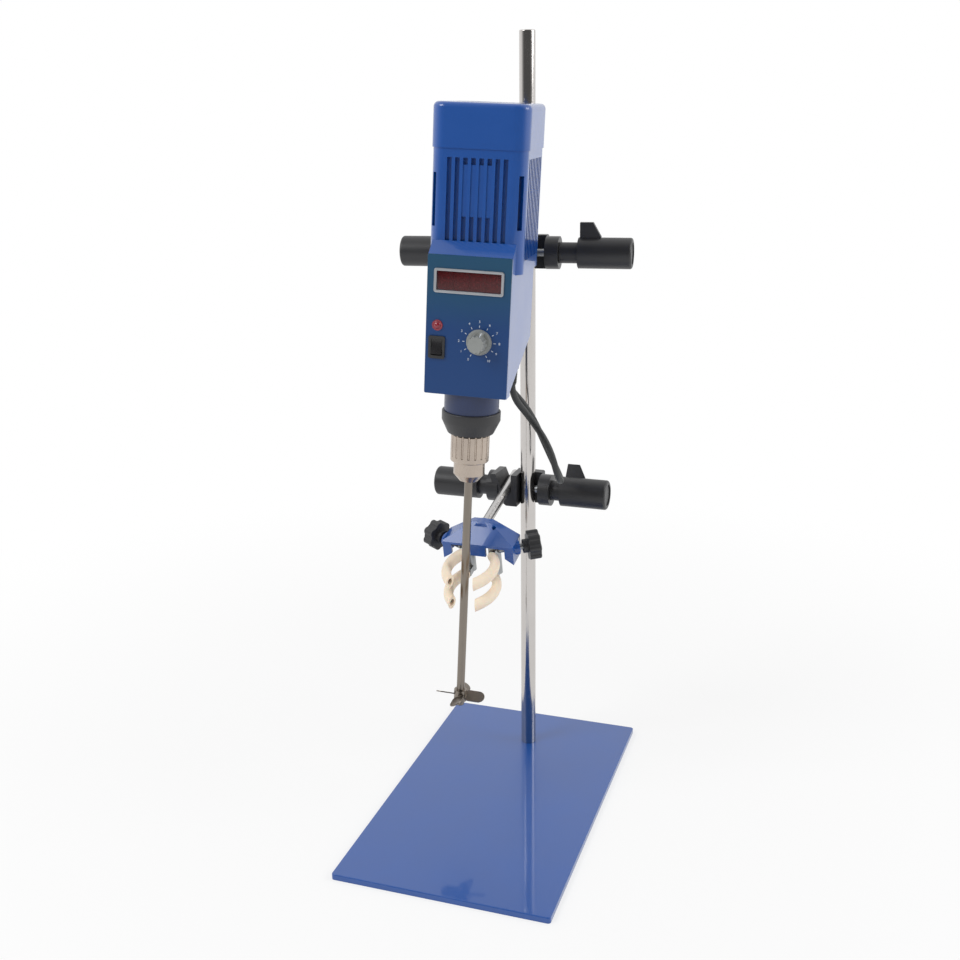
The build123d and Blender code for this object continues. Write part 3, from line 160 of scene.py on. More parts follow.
# The panel's print turns from blue to green between these heights of the model, in metres
BLEND_START = 0.495
BLEND_END = 0.54

MILLIMETRES = Matrix.Scale(0.001, 4)
JOINTS = {joint["name"]: joint for joint in frame["joints"]}


def to_linear(code):
    """An sRGB hex colour as linear red, green and blue."""
    parts = [int(code[start:start + 2], 16) / 255 for start in (0, 2, 4)]
    return tuple(part / 12.92 if part <= 0.04045 else ((part + 0.055) / 1.055) ** 2.4 for part in parts)


def frame_at(origin, right, up):
    """The matrix from millimetres in a piece's own axes to the model's metres."""
    z_axis = Vector(up).normalized()
    y_axis = z_axis.cross(Vector(right)).normalized()
    x_axis = y_axis.cross(z_axis)
    matrix = Matrix((x_axis, y_axis, z_axis)).transposed().to_4x4()
    matrix.translation = origin
    return matrix @ MILLIMETRES


HEAD_UP = Vector(JOINTS["motor_turn"]["axis"])
HEAD_FORWARD = Vector(JOINTS["head_roll"]["axis"])
HEAD_RIGHT = HEAD_FORWARD.cross(-HEAD_UP)
HEAD = frame_at(JOINTS["head_roll"]["pos_m"], HEAD_RIGHT, HEAD_UP)
# The panel's own axes: right, up, and out to the front
PANEL = HEAD @ Matrix.Translation((0, PANEL_FRONT, 0)) @ Matrix.Rotation(math.radians(90), 4, "X")


class StirrerColours(PropertyGroup):
    """The colours of the stirrer's finishes."""

    enamel: FloatVectorProperty(
        name="Blue Enamel", description="Stand, motor, control box and flask clamp",
        subtype="COLOR", size=3, min=0, max=1, default=to_linear("084b9a"))
    neck: FloatVectorProperty(
        name="Neck Enamel", description="The darker neck below the control box",
        subtype="COLOR", size=3, min=0, max=1, default=to_linear("1a2c54"))
    panel_top: FloatVectorProperty(
        name="Panel Top", description="Front panel round the display",
        subtype="COLOR", size=3, min=0, max=1, default=to_linear("184a66"))
    panel_foot: FloatVectorProperty(
        name="Panel Foot", description="Front panel round the dial",
        subtype="COLOR", size=3, min=0, max=1, default=to_linear("0c3c74"))
    moulding: FloatVectorProperty(
        name="Black Moulding", description="Clamping knobs, star knobs and bearing cap",
        subtype="COLOR", size=3, min=0, max=1, default=to_linear("2a2a2c"))
    sleeves: FloatVectorProperty(
        name="Rubber Sleeves", description="Tubes on the flask clamp's prongs",
        subtype="COLOR", size=3, min=0, max=1, default=to_linear("fdead2"))
    dial: FloatVectorProperty(
        name="Grey Dial", description="The speed knob",
        subtype="COLOR", size=3, min=0, max=1, default=to_linear("8f9290"))


class StirrerSizes(PropertyGroup):
    """The sizes of the stirrer's fine pieces."""

    cord_diameter: FloatProperty(
        name="Lead Diameter", description="Diameter of the mains lead",
        subtype="DISTANCE", unit="LENGTH", default=0.0065, min=0.004, max=0.01)
    cord_length: FloatProperty(
        name="Lead Length", description="Length of the mains lead from the gland to the plug",
        subtype="DISTANCE", unit="LENGTH", default=1.66, min=0.5, max=3)
    numeral_height: FloatProperty(
        name="Numeral Height", description="Height of the dial's numerals",
        subtype="DISTANCE", unit="LENGTH", default=0.0032, min=0.002, max=0.005)
    rivet_radius: FloatProperty(
        name="Rivet Radius", description="Radius of the rivets on the motor's plain pad",
        subtype="DISTANCE", unit="LENGTH", default=0.0016, min=0.001, max=0.003)
    gland_ribs: IntProperty(
        name="Gland Ribs", description="Number of ribs on the lead's strain relief",
        default=6, min=3, max=9)


class StirrerStudio(PropertyGroup):
    """The camera and the light of the studio."""

    lens: FloatProperty(
        name="Lens", description="Focal length of the camera on a 36 mm sensor",
        unit="CAMERA", default=46.83, min=20, max=120)
    key_power: FloatProperty(
        name="Key Light", description="Power of the large lamp at the front left",
        subtype="POWER", unit="POWER", default=22, min=0, max=200)
    fill_power: FloatProperty(
        name="Fill Light", description="Power of the lamp at the right",
        subtype="POWER", unit="POWER", default=10, min=0, max=200)
    room_level: FloatProperty(
        name="Room Level", description="Strength of the even light from all sides",
        default=0.62, min=0, max=1)
    floor: FloatVectorProperty(
        name="Floor", description="Colour of the floor",
        subtype="COLOR", size=3, min=0, max=1, default=to_linear("f4f4f4"))


def add_node(tree, kind, values=None, links=None, **settings):
    """Add one shader node with its settings, the values of its sockets and the links into it."""
    node = tree.nodes.new(kind)
    for name, value in settings.items():
        setattr(node, name, value)
    for socket, value in (values or {}).items():
        node.inputs[socket].default_value = value
    for socket, source in (links or {}).items():
        tree.links.new(source, node.inputs[socket])
    return node


def new_finish(name, sockets):
    """A material with its shader's own values set; returns the material, its tree and its shader."""
    material = bpy.data.materials.new(name)
    material.use_nodes = True
    shader = material.node_tree.nodes["Principled BSDF"]
    for socket, value in sockets.items():
        shader.inputs[socket].default_value = value
    return material, material.node_tree, shader


def weather(tree, shader, low, high, patch, roughness, grain, relief):
    """Colour and gloss that drift from patch to patch, and a fine grain in relief.

    The colour drifts between low and high and the roughness between its two values, over patches
    of the given size. Grain and relief are the size and height of the surface's texture. Sizes are
    in millimetres.
    """
    place = add_node(tree, "ShaderNodeTexCoord").outputs["Object"]
    drift = add_node(tree, "ShaderNodeTexNoise", {"Scale": 1000 / patch, "Detail": 4.0}, {"Vector": place})
    tone = add_node(tree, "ShaderNodeMix", {6: (*low, 1), 7: (*high, 1)}, {0: drift.outputs[0]},
                    data_type="RGBA")
    gloss = add_node(tree, "ShaderNodeMapRange", {"To Min": roughness[0], "To Max": roughness[1]},
                     {"Value": drift.outputs[0]})
    texture = add_node(tree, "ShaderNodeTexNoise", {"Scale": 1000 / grain, "Detail": 2.0}, {"Vector": place})
    bump = add_node(tree, "ShaderNodeBump", {"Strength": 0.6, "Distance": relief / 1000},
                    {"Height": texture.outputs[0]})
    tree.links.new(tone.outputs[2], shader.inputs["Base Color"])
    tree.links.new(gloss.outputs[0], shader.inputs["Roughness"])
    tree.links.new(bump.outputs[0], shader.inputs["Normal"])
    return place, tone


def shade(colour, share):
    """A colour made lighter or darker by a share of itself."""
    return tuple(min(channel * (1 + share), 1) for channel in colour)


def blue_enamel():
    """Stoved enamel on sheet steel and castings: the coat's clear gloss shows a faint orange peel."""
    base = bpy.context.scene.stirrer_colours.enamel
    material, tree, shader = new_finish("stoved_blue_enamel", {
        "IOR": 1.5, "Coat Weight": 0.7, "Coat Roughness": 0.06, "Coat IOR": 1.5})
    weather(tree, shader, shade(base, -0.08), shade(base, 0.08), 45, (0.28, 0.4), 1.4, 0.02)
    return material


def neck_enamel():
    """The same stoved enamel in navy on the turned neck: less gloss, so it stays dark."""
    base = bpy.context.scene.stirrer_colours.neck
    material, tree, shader = new_finish("stoved_navy_enamel", {
        "IOR": 1.5, "Coat Weight": 0.3, "Coat Roughness": 0.15})
    weather(tree, shader, shade(base, -0.1), shade(base, 0.08), 25, (0.35, 0.48), 1.2, 0.02)
    return material


def printed_panel():
    """Reverse-printed polycarbonate sheet: an even gloss over blue that greens towards the display."""
    colours = bpy.context.scene.stirrer_colours
    material, tree, shader = new_finish("printed_polycarbonate", {"IOR": 1.45})
    low, high = colours.panel_foot, colours.panel_top
    place, tone = weather(tree, shader, low, high, 60, (0.3, 0.38), 0.5, 0.006)
    height = add_node(tree, "ShaderNodeSeparateXYZ", links={"Vector": place})
    climb = add_node(tree, "ShaderNodeMapRange", {"From Min": BLEND_START, "From Max": BLEND_END},
                     {"Value": height.outputs["Z"]})
    cloud = add_node(tree, "ShaderNodeTexNoise", {"Scale": 40.0, "Detail": 3.0}, {"Vector": place})
    ragged = add_node(tree, "ShaderNodeMath", {1: -0.25}, {0: cloud.outputs[0]}, operation="MULTIPLY")
    share = add_node(tree, "ShaderNodeMath", links={0: climb.outputs[0], 1: ragged.outputs[0]},
                     operation="ADD", use_clamp=True)
    tree.links.new(share.outputs[0], tone.inputs[0])
    return material


def black_moulding():
    """Moulded phenolic: a fine spark-eroded grain that scatters the light on its curves."""
    base = bpy.context.scene.stirrer_colours.moulding
    material, tree, shader = new_finish("moulded_black_phenolic", {"IOR": 1.55})
    weather(tree, shader, shade(base, -0.15), shade(base, 0.2), 18, (0.38, 0.52), 0.6, 0.03)
    return material


def black_casting():
    """Black enamel over a sand casting: the cast skin's lumps show through as soft dimples."""
    base = bpy.context.scene.stirrer_colours.moulding
    material, tree, shader = new_finish("enamelled_casting", {
        "IOR": 1.5, "Coat Weight": 0.25, "Coat Roughness": 0.3})
    weather(tree, shader, shade(base, -0.25), shade(base, 0.1), 12, (0.36, 0.55), 1.6, 0.09)
    return material


def black_gloss():
    """Moulded nylon of the rocker: smoother than the knobs, so it keeps a sharp highlight."""
    material, tree, shader = new_finish("moulded_nylon", {"IOR": 1.53})
    weather(tree, shader, to_linear("1c1b1e"), to_linear("262528"), 10, (0.2, 0.3), 0.4, 0.008)
    return material


def grey_moulding():
    """Moulded ABS of the dial: a satin grey with a little mottling from the mould."""
    base = bpy.context.scene.stirrer_colours.dial
    material, tree, shader = new_finish("moulded_grey_abs", {"IOR": 1.54})
    weather(tree, shader, shade(base, -0.12), shade(base, 0.1), 8, (0.42, 0.55), 0.5, 0.02)
    return material


def rod_steel(name, tint, roughness, scratch):
    """Drawn steel rod: fine drawing lines along the rod stretch the reflections lengthwise."""
    material, tree, shader = new_finish(name, {"Metallic": 1.0})
    place, _ = weather(tree, shader, shade(tint, -0.12), tint, 30, roughness, 0.8, 0.004)
    stretch = add_node(tree, "ShaderNodeMapping", {"Scale": (1, 1, 0.02)}, {"Vector": place})
    lines = add_node(tree, "ShaderNodeTexNoise", {"Scale": 1000 / 0.5, "Detail": 3.0},
                     {"Vector": stretch.outputs[0]})
    bump = add_node(tree, "ShaderNodeBump", {"Strength": 0.5, "Distance": scratch / 1000},
                    {"Height": lines.outputs[0]})
    tree.links.new(bump.outputs[0], shader.inputs["Normal"])
    return material


def chromed_steel():
    """Chrome plating on the ground column: nearly a mirror, drawn out a little along the rod."""
    return rod_steel("chromed_column", to_linear("cfcbc8"), (0.1, 0.2), 0.004)


def bright_steel():
    """Bright drawn steel of the support rods, a little duller than the column."""
    return rod_steel("bright_drawn_steel", to_linear("c9c7c6"), (0.2, 0.32), 0.006)


def stainless_steel():
    """Stainless steel of the stirring shaft and its propeller: warm grey with a brushed surface."""
    return rod_steel("stainless_shaft", to_linear("8d857c"), (0.24, 0.36), 0.006)


def chuck_steel():
    """Ground alloy steel of the chuck: warm, with the fine rings that turning leaves."""
    material, tree, shader = new_finish("ground_chuck_steel", {"Metallic": 1.0})
    low, high = to_linear("a89c92"), to_linear("cabdb0")
    place, _ = weather(tree, shader, low, high, 14, (0.2, 0.34), 0.5, 0.004)
    squash = add_node(tree, "ShaderNodeMapping", {"Scale": (0.02, 0.02, 1)}, {"Vector": place})
    rings = add_node(tree, "ShaderNodeTexNoise", {"Scale": 1000 / 0.6, "Detail": 2.0},
                     {"Vector": squash.outputs[0]})
    bump = add_node(tree, "ShaderNodeBump", {"Strength": 0.5, "Distance": 0.00001},
                    {"Height": rings.outputs[0]})
    tree.links.new(bump.outputs[0], shader.inputs["Normal"])
    return material


def zinc_steel():
    """Zinc-plated steel of screws and pins: a cool, slightly cloudy passivated film."""
    material, tree, shader = new_finish("zinc_plated_steel", {"Metallic": 1.0})
    weather(tree, shader, to_linear("8e9194"), to_linear("b8bab9"), 5, (0.3, 0.45), 0.6, 0.006)
    return material


def cast_aluminium():
    """Sand-cast aluminium of the bracket: a pale, rough skin with no machining."""
    material, tree, shader = new_finish("cast_aluminium", {"Metallic": 1.0})
    weather(tree, shader, to_linear("8a8c8e"), to_linear("a6a8aa"), 15, (0.45, 0.62), 1.2, 0.06)
    return material


def satin_silver():
    """Bead-blasted aluminium of the display's frame: an even, fine satin."""
    material, tree, shader = new_finish("bead_blasted_aluminium", {"Metallic": 1.0})
    weather(tree, shader, to_linear("b4b7bb"), to_linear("c8cace"), 10, (0.38, 0.48), 0.4, 0.01)
    return material


def red_acrylic():
    """Tinted acrylic window: clear gloss in front, with the digits dim and red behind it."""
    material, tree, shader = new_finish("tinted_red_acrylic", {
        "IOR": 1.49, "Transmission Weight": 0.9})
    weather(tree, shader, to_linear("a01828"), to_linear("b42030"), 30, (0.04, 0.08), 3, 0.001)
    return material


def red_lens():
    """Moulded red lens of the pilot lamp: translucent, deeper in its middle."""
    material, tree, shader = new_finish("moulded_red_lens", {
        "IOR": 1.5, "Subsurface Weight": 0.3, "Subsurface Scale": 0.002, "Coat Weight": 0.4})
    weather(tree, shader, to_linear("7c1f30"), to_linear("96283a"), 4, (0.15, 0.25), 0.8, 0.01)
    return material


def segment_face():
    """Unlit digit segments behind the window: milky epoxy, the lightest thing in there."""
    material, tree, shader = new_finish("milky_epoxy", {"IOR": 1.5})
    weather(tree, shader, to_linear("8f7f7a"), to_linear("a5958f"), 4, (0.4, 0.5), 0.5, 0.01)
    return material


def digit_case():
    """Printed face of the digit blocks: matt grey ink, paler than the board between them."""
    material, tree, shader = new_finish("grey_printed_face", {"IOR": 1.5})
    weather(tree, shader, to_linear("5a4a48"), to_linear("66555a"), 6, (0.5, 0.6), 0.5, 0.01)
    return material


def circuit_board():
    """Circuit board under green solder resist: a thin gloss over the glass cloth's weave."""
    material, tree, shader = new_finish("green_solder_resist", {"IOR": 1.5, "Coat Weight": 0.3})
    weather(tree, shader, to_linear("14391d"), to_linear("1b4a26"), 5, (0.3, 0.4), 0.6, 0.02)
    return material


def cream_rubber():
    """Natural rubber tube: matt, faintly translucent, with dust and finger marks on its cream."""
    base = bpy.context.scene.stirrer_colours.sleeves
    material, tree, shader = new_finish("natural_rubber", {
        "IOR": 1.52, "Subsurface Weight": 0.12, "Subsurface Scale": 0.003})
    weather(tree, shader, shade(base, -0.16), shade(base, 0.04), 16, (0.5, 0.68), 0.7, 0.03)
    return material


def cord_rubber():
    """Moulded rubber sheath of the lead and plug: dark and matt, worn a little lighter in patches."""
    material, tree, shader = new_finish("moulded_cord_rubber", {"IOR": 1.52})
    weather(tree, shader, to_linear("2b2d2d"), to_linear("3a3c3c"), 20, (0.5, 0.62), 0.8, 0.03)
    return material


def wound_copper():
    """Varnished copper winding: rings of wire under an amber varnish."""
    material, tree, shader = new_finish("varnished_copper", {"Metallic": 0.8, "Coat Weight": 0.5})
    weather(tree, shader, to_linear("7a4a2c"), to_linear("9a6238"), 6, (0.3, 0.4), 0.8, 0.05)
    return material


def white_print():
    """Screen-printed white ink: flat and matt, thin enough to let a little blue through."""
    material, tree, shader = new_finish("screen_printed_ink", {"IOR": 1.5})
    weather(tree, shader, to_linear("b9c4d2"), to_linear("dfe4ea"), 2, (0.5, 0.6), 0.4, 0.004)
    return material


def finish(maker):
    """The material that a maker function gives, made once."""
    name = maker.__name__
    if name not in finish.made:
        finish.made[name] = maker()
    return finish.made[name]


finish.made = {}


def shape_object(name, shape, materials, body, sharp=32):
    """A mesh object from a bmesh in metres, smooth up to the sharp angle, riding on its body."""
    mesh = bpy.data.meshes.new(name)
    shape.to_mesh(mesh)
    shape.free()
    for material in materials:
        mesh.materials.append(material)
    for face in mesh.polygons:
        face.use_smooth = True
    mesh.set_sharp_from_angle(angle=math.radians(sharp))
    piece = bpy.data.objects.new(name, mesh)
    bpy.context.scene.collection.objects.link(piece)
    weighted = piece.modifiers.new("Weighted Normal", "WEIGHTED_NORMAL")
    weighted.keep_sharp = True
    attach(piece, body)
    return piece


def dress(node, maker, edge=0, segments=2, second=None, chosen=None):
    """Give a CAD node its finish, and where it shows, stand a copy with rounded edges in its place.

    The edge is the rounding in millimetres. Faces whose middle is chosen take the second finish.
    """
    source = frame["nodes"][node]
    if not edge:
        source.data.materials.clear()
        source.data.materials.append(finish(maker))
        return source
    shape = bmesh.new()
    shape.from_mesh(source.data)
    bmesh.ops.remove_doubles(shape, verts=shape.verts, dist=0.000002)
    bmesh.ops.dissolve_limit(shape, angle_limit=math.radians(0.6), verts=shape.verts, edges=shape.edges)
    sharp = [e for e in shape.edges if e.is_manifold and e.calc_face_angle() > math.radians(38)]
    bmesh.ops.bevel(shape, geom=sharp, offset=edge / 1000, offset_type="OFFSET", segments=segments,
                    profile=0.5, affect="EDGES", clamp_overlap=True, material=-1)
    materials = [finish(maker)]
    if second:
        materials.append(finish(second))
        for face in shape.faces:
            face.material_index = 1 if chosen(face.calc_center_median()) else 0
    else:
        for face in shape.faces:
            face.material_index = 0
    piece = shape_object(node + "_rounded", shape, materials, source["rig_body"])
    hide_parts(node)
    return piece


def in_axes(frame_matrix, point):
    """A point of the model, in metres, in a frame's own millimetres."""
    return frame_matrix.inverted() @ point


class STIRRER_OT_studio(Operator):
    """Build the floor, the light and the camera"""

    bl_idname = "stirrer.studio"
    bl_label = "Build Studio"

    def execute(self, context):
        studio = context.scene.stirrer_studio
        context.scene.view_settings.view_transform = "Standard"
        # The camera stands to the right of the stirrer's front and looks slightly down
        yaw, pitch, roll = (math.radians(turn) for turn in (CAMERA_YAW, CAMERA_PITCH, CAMERA_ROLL))
        level_right = Vector((math.cos(yaw), math.sin(yaw), 0))
        forward = Vector((
            -math.sin(yaw) * math.cos(pitch), math.cos(yaw) * math.cos(pitch), -math.sin(pitch)))
        level_up = level_right.cross(forward)
        right = level_right * math.cos(roll) + level_up * math.sin(roll)
        up = level_up * math.cos(roll) - level_right * math.sin(roll)
        camera = bpy.data.objects.new("Camera", bpy.data.cameras.new("Camera"))
        context.scene.collection.objects.link(camera)
        camera.matrix_world = Matrix((right, up, -forward)).transposed().to_4x4()
        camera.location = CAMERA_PLACE
        camera.data.sensor_width = 36
        camera.data.lens = studio.lens
        camera.data.shift_x, camera.data.shift_y = CAMERA_SHIFT
        context.scene.camera = camera
        # Floor, bright to the camera and still dark enough to carry the shadow
        shape = bmesh.new()
        bmesh.ops.create_circle(shape, cap_ends=True, segments=64, radius=4)
        mesh = bpy.data.meshes.new("studio_floor")
        shape.to_mesh(mesh)
        shape.free()
        floor = bpy.data.objects.new("studio_floor", mesh)
        context.scene.collection.objects.link(floor)
        paper = bpy.data.materials.new("matt_paper")
        paper.use_nodes = True
        tree = paper.node_tree
        tree.nodes.clear()
        path = add_node(tree, "ShaderNodeLightPath")
        matt = add_node(tree, "ShaderNodeBsdfDiffuse", {"Color": (*studio.floor, 1)})
        glow = add_node(tree, "ShaderNodeEmission", {"Color": (1, 1, 1, 1), "Strength": 1.0})
        # Far from the stand the floor runs out into the white of the room
        place = add_node(tree, "ShaderNodeTexCoord").outputs["Object"]
        away = add_node(tree, "ShaderNodeVectorMath", links={0: place}, operation="LENGTH")
        share = add_node(tree, "ShaderNodeMapRange", {
            "From Min": 0.25, "From Max": 1.1, "To Min": 0.7, "To Max": 1.0},
            {"Value": away.outputs["Value"]}, interpolation_type="SMOOTHSTEP")
        sight = add_node(tree, "ShaderNodeMath", links={
            0: path.outputs["Is Camera Ray"], 1: path.outputs["Is Glossy Ray"]}, operation="MAXIMUM")
        seen = add_node(tree, "ShaderNodeMath", links={0: share.outputs[0], 1: sight.outputs[0]},
                        operation="MULTIPLY")
        mixed = add_node(tree, "ShaderNodeMixShader", links={
            0: seen.outputs[0], 1: matt.outputs[0], 2: glow.outputs[0]})
        add_node(tree, "ShaderNodeOutputMaterial", links={"Surface": mixed.outputs[0]})
        mesh.materials.append(paper)
        # The room: white behind the object, darker behind the camera, and an even light
        world = bpy.data.worlds.new("studio_room")
        context.scene.world = world
        world.use_nodes = True
        tree = world.node_tree
        tree.nodes.clear()
        path = add_node(tree, "ShaderNodeLightPath")
        direction = add_node(tree, "ShaderNodeTexCoord").outputs["Generated"]
        front = add_node(tree, "ShaderNodeVectorMath", {1: (0.24, -0.97, 0.05)}, {0: direction},
                         operation="DOT_PRODUCT")
        depth = add_node(tree, "ShaderNodeMapRange", {
            "From Min": -0.15, "From Max": 0.75, "To Min": 1.0, "To Max": 0.1},
            {"Value": front.outputs["Value"]}, interpolation_type="SMOOTHSTEP")
        even = add_node(tree, "ShaderNodeBackground", {"Color": (1, 1, 1, 1), "Strength": studio.room_level})
        mirrored = add_node(tree, "ShaderNodeBackground", {"Color": (1, 1, 1, 1)},
                            {"Strength": depth.outputs[0]})
        white = add_node(tree, "ShaderNodeBackground", {"Color": (1, 1, 1, 1), "Strength": 1.0})
        bright = add_node(tree, "ShaderNodeMath", links={
            0: path.outputs["Is Glossy Ray"], 1: path.outputs["Is Transmission Ray"]}, operation="MAXIMUM")
        lit = add_node(tree, "ShaderNodeMixShader", links={
            0: bright.outputs[0], 1: even.outputs[0], 2: mirrored.outputs[0]})
        whole = add_node(tree, "ShaderNodeMixShader", links={
            0: path.outputs["Is Camera Ray"], 1: lit.outputs[0], 2: white.outputs[0]})
        add_node(tree, "ShaderNodeOutputWorld", links={"Surface": whole.outputs[0]})
        # Soft lamps
        lamps = (
            ("key_lamp", (-1.3, -1.3, 1.9), 1.2, studio.key_power),
            ("fill_lamp", (1.6, 0.3, 1.2), 1.0, studio.fill_power),
        )
        for name, place, size, power in lamps:
            data = bpy.data.lights.new(name, "AREA")
            data.shape = "DISK"
            data.size = size
            data.energy = power
            lamp = bpy.data.objects.new(name, data)
            context.scene.collection.objects.link(lamp)
            aim = Vector(LAMP_AIM) - Vector(place)
            lamp.location = place
            lamp.rotation_euler = aim.to_track_quat("-Z", "Y").to_euler()
        return {"FINISHED"}


class STIRRER_OT_stand(Operator):
    """Finish the base plate and the column"""

    bl_idname = "stirrer.stand"
    bl_label = "Build Stand"

    def execute(self, context):
        dress("base_plate", blue_enamel, 0.4)
        dress("column_screw", zinc_steel)
        dress("column", chromed_steel, 0.4)
        return {"FINISHED"}


class STIRRER_OT_boss_heads(Operator):
    """Finish the two boss heads with their clamping knobs"""

    bl_idname = "stirrer.boss_heads"
    bl_label = "Build Boss Heads"

    def execute(self, context):
        for boss in ("upper", "lower"):
            dress(boss + "_boss", black_casting, 1.2, 3)
            for side in ("left", "right"):
                dress(f"{boss}_{side}_knob", black_moulding, 0.9, 3)
                dress(f"{boss}_{side}_stud", zinc_steel, 0.3)
        dress("support_arm", bright_steel, 0.3)
        dress("flask_rod", bright_steel, 0.3)
        return {"FINISHED"}


class STIRRER_OT_motor(Operator):
    """Finish the motor, and rivet the plain pad on its front"""

    bl_idname = "stirrer.motor"
    bl_label = "Build Motor"

    def execute(self, context):
        dress("motor_body", blue_enamel, 0.5)
        dress("motor_end_bell", blue_enamel, 0.4)
        dress("fan_cover", blue_enamel, 0.7)
        dress("motor_bracket", cast_aluminium, 0.5)
        for node in ("motor_bolts", "motor_bearings", "rotor"):
            dress(node, zinc_steel)
        dress("stator", wound_copper)
        dress("cooling_fan", black_moulding)
        # Rivets
        radius = context.scene.stirrer_sizes.rivet_radius * 1000
        shape = bmesh.new()
        for x, z in RIVET_PLACES:
            made = bmesh.ops.create_uvsphere(shape, u_segments=20, v_segments=10, radius=radius)
            dome = made["verts"]
            bmesh.ops.scale(shape, vec=(1, 0.6, 1), verts=dome)
            bmesh.ops.translate(shape, vec=(x, MOTOR_FACE - 0.1, z), verts=dome)
        bmesh.ops.transform(shape, matrix=HEAD, verts=shape.verts)
        bmesh.ops.recalc_face_normals(shape, faces=shape.faces)
        shape_object("pad_rivets", shape, [finish(zinc_steel)], "head")
        return {"FINISHED"}


class STIRRER_OT_control_box(Operator):
    """Finish the control box, its front panel and the neck below it"""

    bl_idname = "stirrer.control_box"
    bl_label = "Build Control Box"

    def execute(self, context):
        dress("control_box", blue_enamel, 0.5)
        dress("front_panel", printed_panel, 0.4)
        dress("gear_case", neck_enamel, 0.5)
        dress("bearing_cap", black_moulding, 1.0, 3)
        for node in ("spindle_bearings", "spindle_gear", "spindle"):
            dress(node, zinc_steel)
        return {"FINISHED"}


class STIRRER_OT_display(Operator):
    """Build the display: its frame, its window and the unlit digits behind"""

    bl_idname = "stirrer.display"
    bl_label = "Build Display"

    def execute(self, context):
        dress("display_bezel", satin_silver, 0.35)
        dress("display_window", red_acrylic)
        # Board with four digit blocks, set back a little from the window
        shape = bmesh.new()
        plate = (WINDOW_WIDTH + 10, WINDOW_HEIGHT + 5, 1.6)
        middle = Vector((0, WINDOW_Z, BOARD_Z))
        made = bmesh.ops.create_cube(shape, size=1, matrix=Matrix.Translation(middle))
        for vert in made["verts"]:
            vert.co = middle + Vector([(vert.co - middle)[i] * plate[i] for i in range(3)])
        places = [(number - 1.5) * DIGIT_PITCH for number in range(4)]
        for x in places:
            place = Matrix.Translation((x, WINDOW_Z, DIGIT_Z))
            size = Matrix.Diagonal((DIGIT_WIDTH, DIGIT_HEIGHT, DIGIT_DEPTH, 1))
            made = bmesh.ops.create_cube(shape, size=1, matrix=place @ size)
            edges = {edge for vert in made["verts"] for edge in vert.link_edges}
            block = bmesh.ops.bevel(shape, geom=list(edges), offset=0.3, segments=2, profile=0.5,
                                    affect="EDGES", material=-1)
            for face in {face for vert in block["verts"] for face in vert.link_faces}:
                face.material_index = 1
        # Seven segments on each block
        bars = ((0, 5.2, 0), (0, 0, 0), (0, -5.2, 0), (-3.1, 2.6, 90), (3.1, 2.6, 90),
                (-3.1, -2.6, 90), (3.1, -2.6, 90))
        for x in places:
            for dx, dy, turn in bars:
                place = (Matrix.Translation((x + dx, WINDOW_Z + dy, SEGMENT_Z))
                         @ Matrix.Rotation(math.radians(turn), 4, "Z"))
                made = bmesh.ops.create_circle(shape, cap_ends=True, segments=6, radius=1,
                                               matrix=place @ Matrix.Diagonal(SEGMENT))
                top = list({face for vert in made["verts"] for face in vert.link_faces})
                grown = bmesh.ops.extrude_face_region(shape, geom=top)
                raised = [item for item in grown["geom"] if isinstance(item, bmesh.types.BMVert)]
                bmesh.ops.translate(shape, vec=(0, 0, SEGMENT_RAISE), verts=raised)
                for face in {face for vert in raised for face in vert.link_faces}:
                    face.material_index = 2
                for face in top:
                    face.material_index = 2
        bmesh.ops.transform(shape, matrix=PANEL, verts=shape.verts)
        bmesh.ops.recalc_face_normals(shape, faces=shape.faces)
        board = shape_object("digit_board", shape, [
            finish(circuit_board), finish(digit_case), finish(segment_face)], "head")
        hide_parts("display_board")
        return {"FINISHED"}


def print_text(text, height, place, depth=0.04):
    """A printed sign as a thin mesh on the panel's plane, in millimetres, centred on its place."""
    curve = bpy.data.curves.new("print", "FONT")
    curve.body = text
    curve.size = height
    curve.align_x = "CENTER"
    curve.align_y = "CENTER"
    curve.extrude = depth
    curve.resolution_u = 3
    carrier = bpy.data.objects.new("print", curve)
    mesh = bpy.data.meshes.new_from_object(carrier)
    shape = bmesh.new()
    shape.from_mesh(mesh)
    bmesh.ops.transform(shape, matrix=place, verts=shape.verts)
    bpy.data.objects.remove(carrier)
    bpy.data.meshes.remove(mesh)
    bpy.data.curves.remove(curve)
    return shape


def gather(target, shape):
    """Add a shape's mesh to another shape."""
    mesh = bpy.data.meshes.new("gathered")
    shape.to_mesh(mesh)
    shape.free()
    target.from_mesh(mesh)
    bpy.data.meshes.remove(mesh)


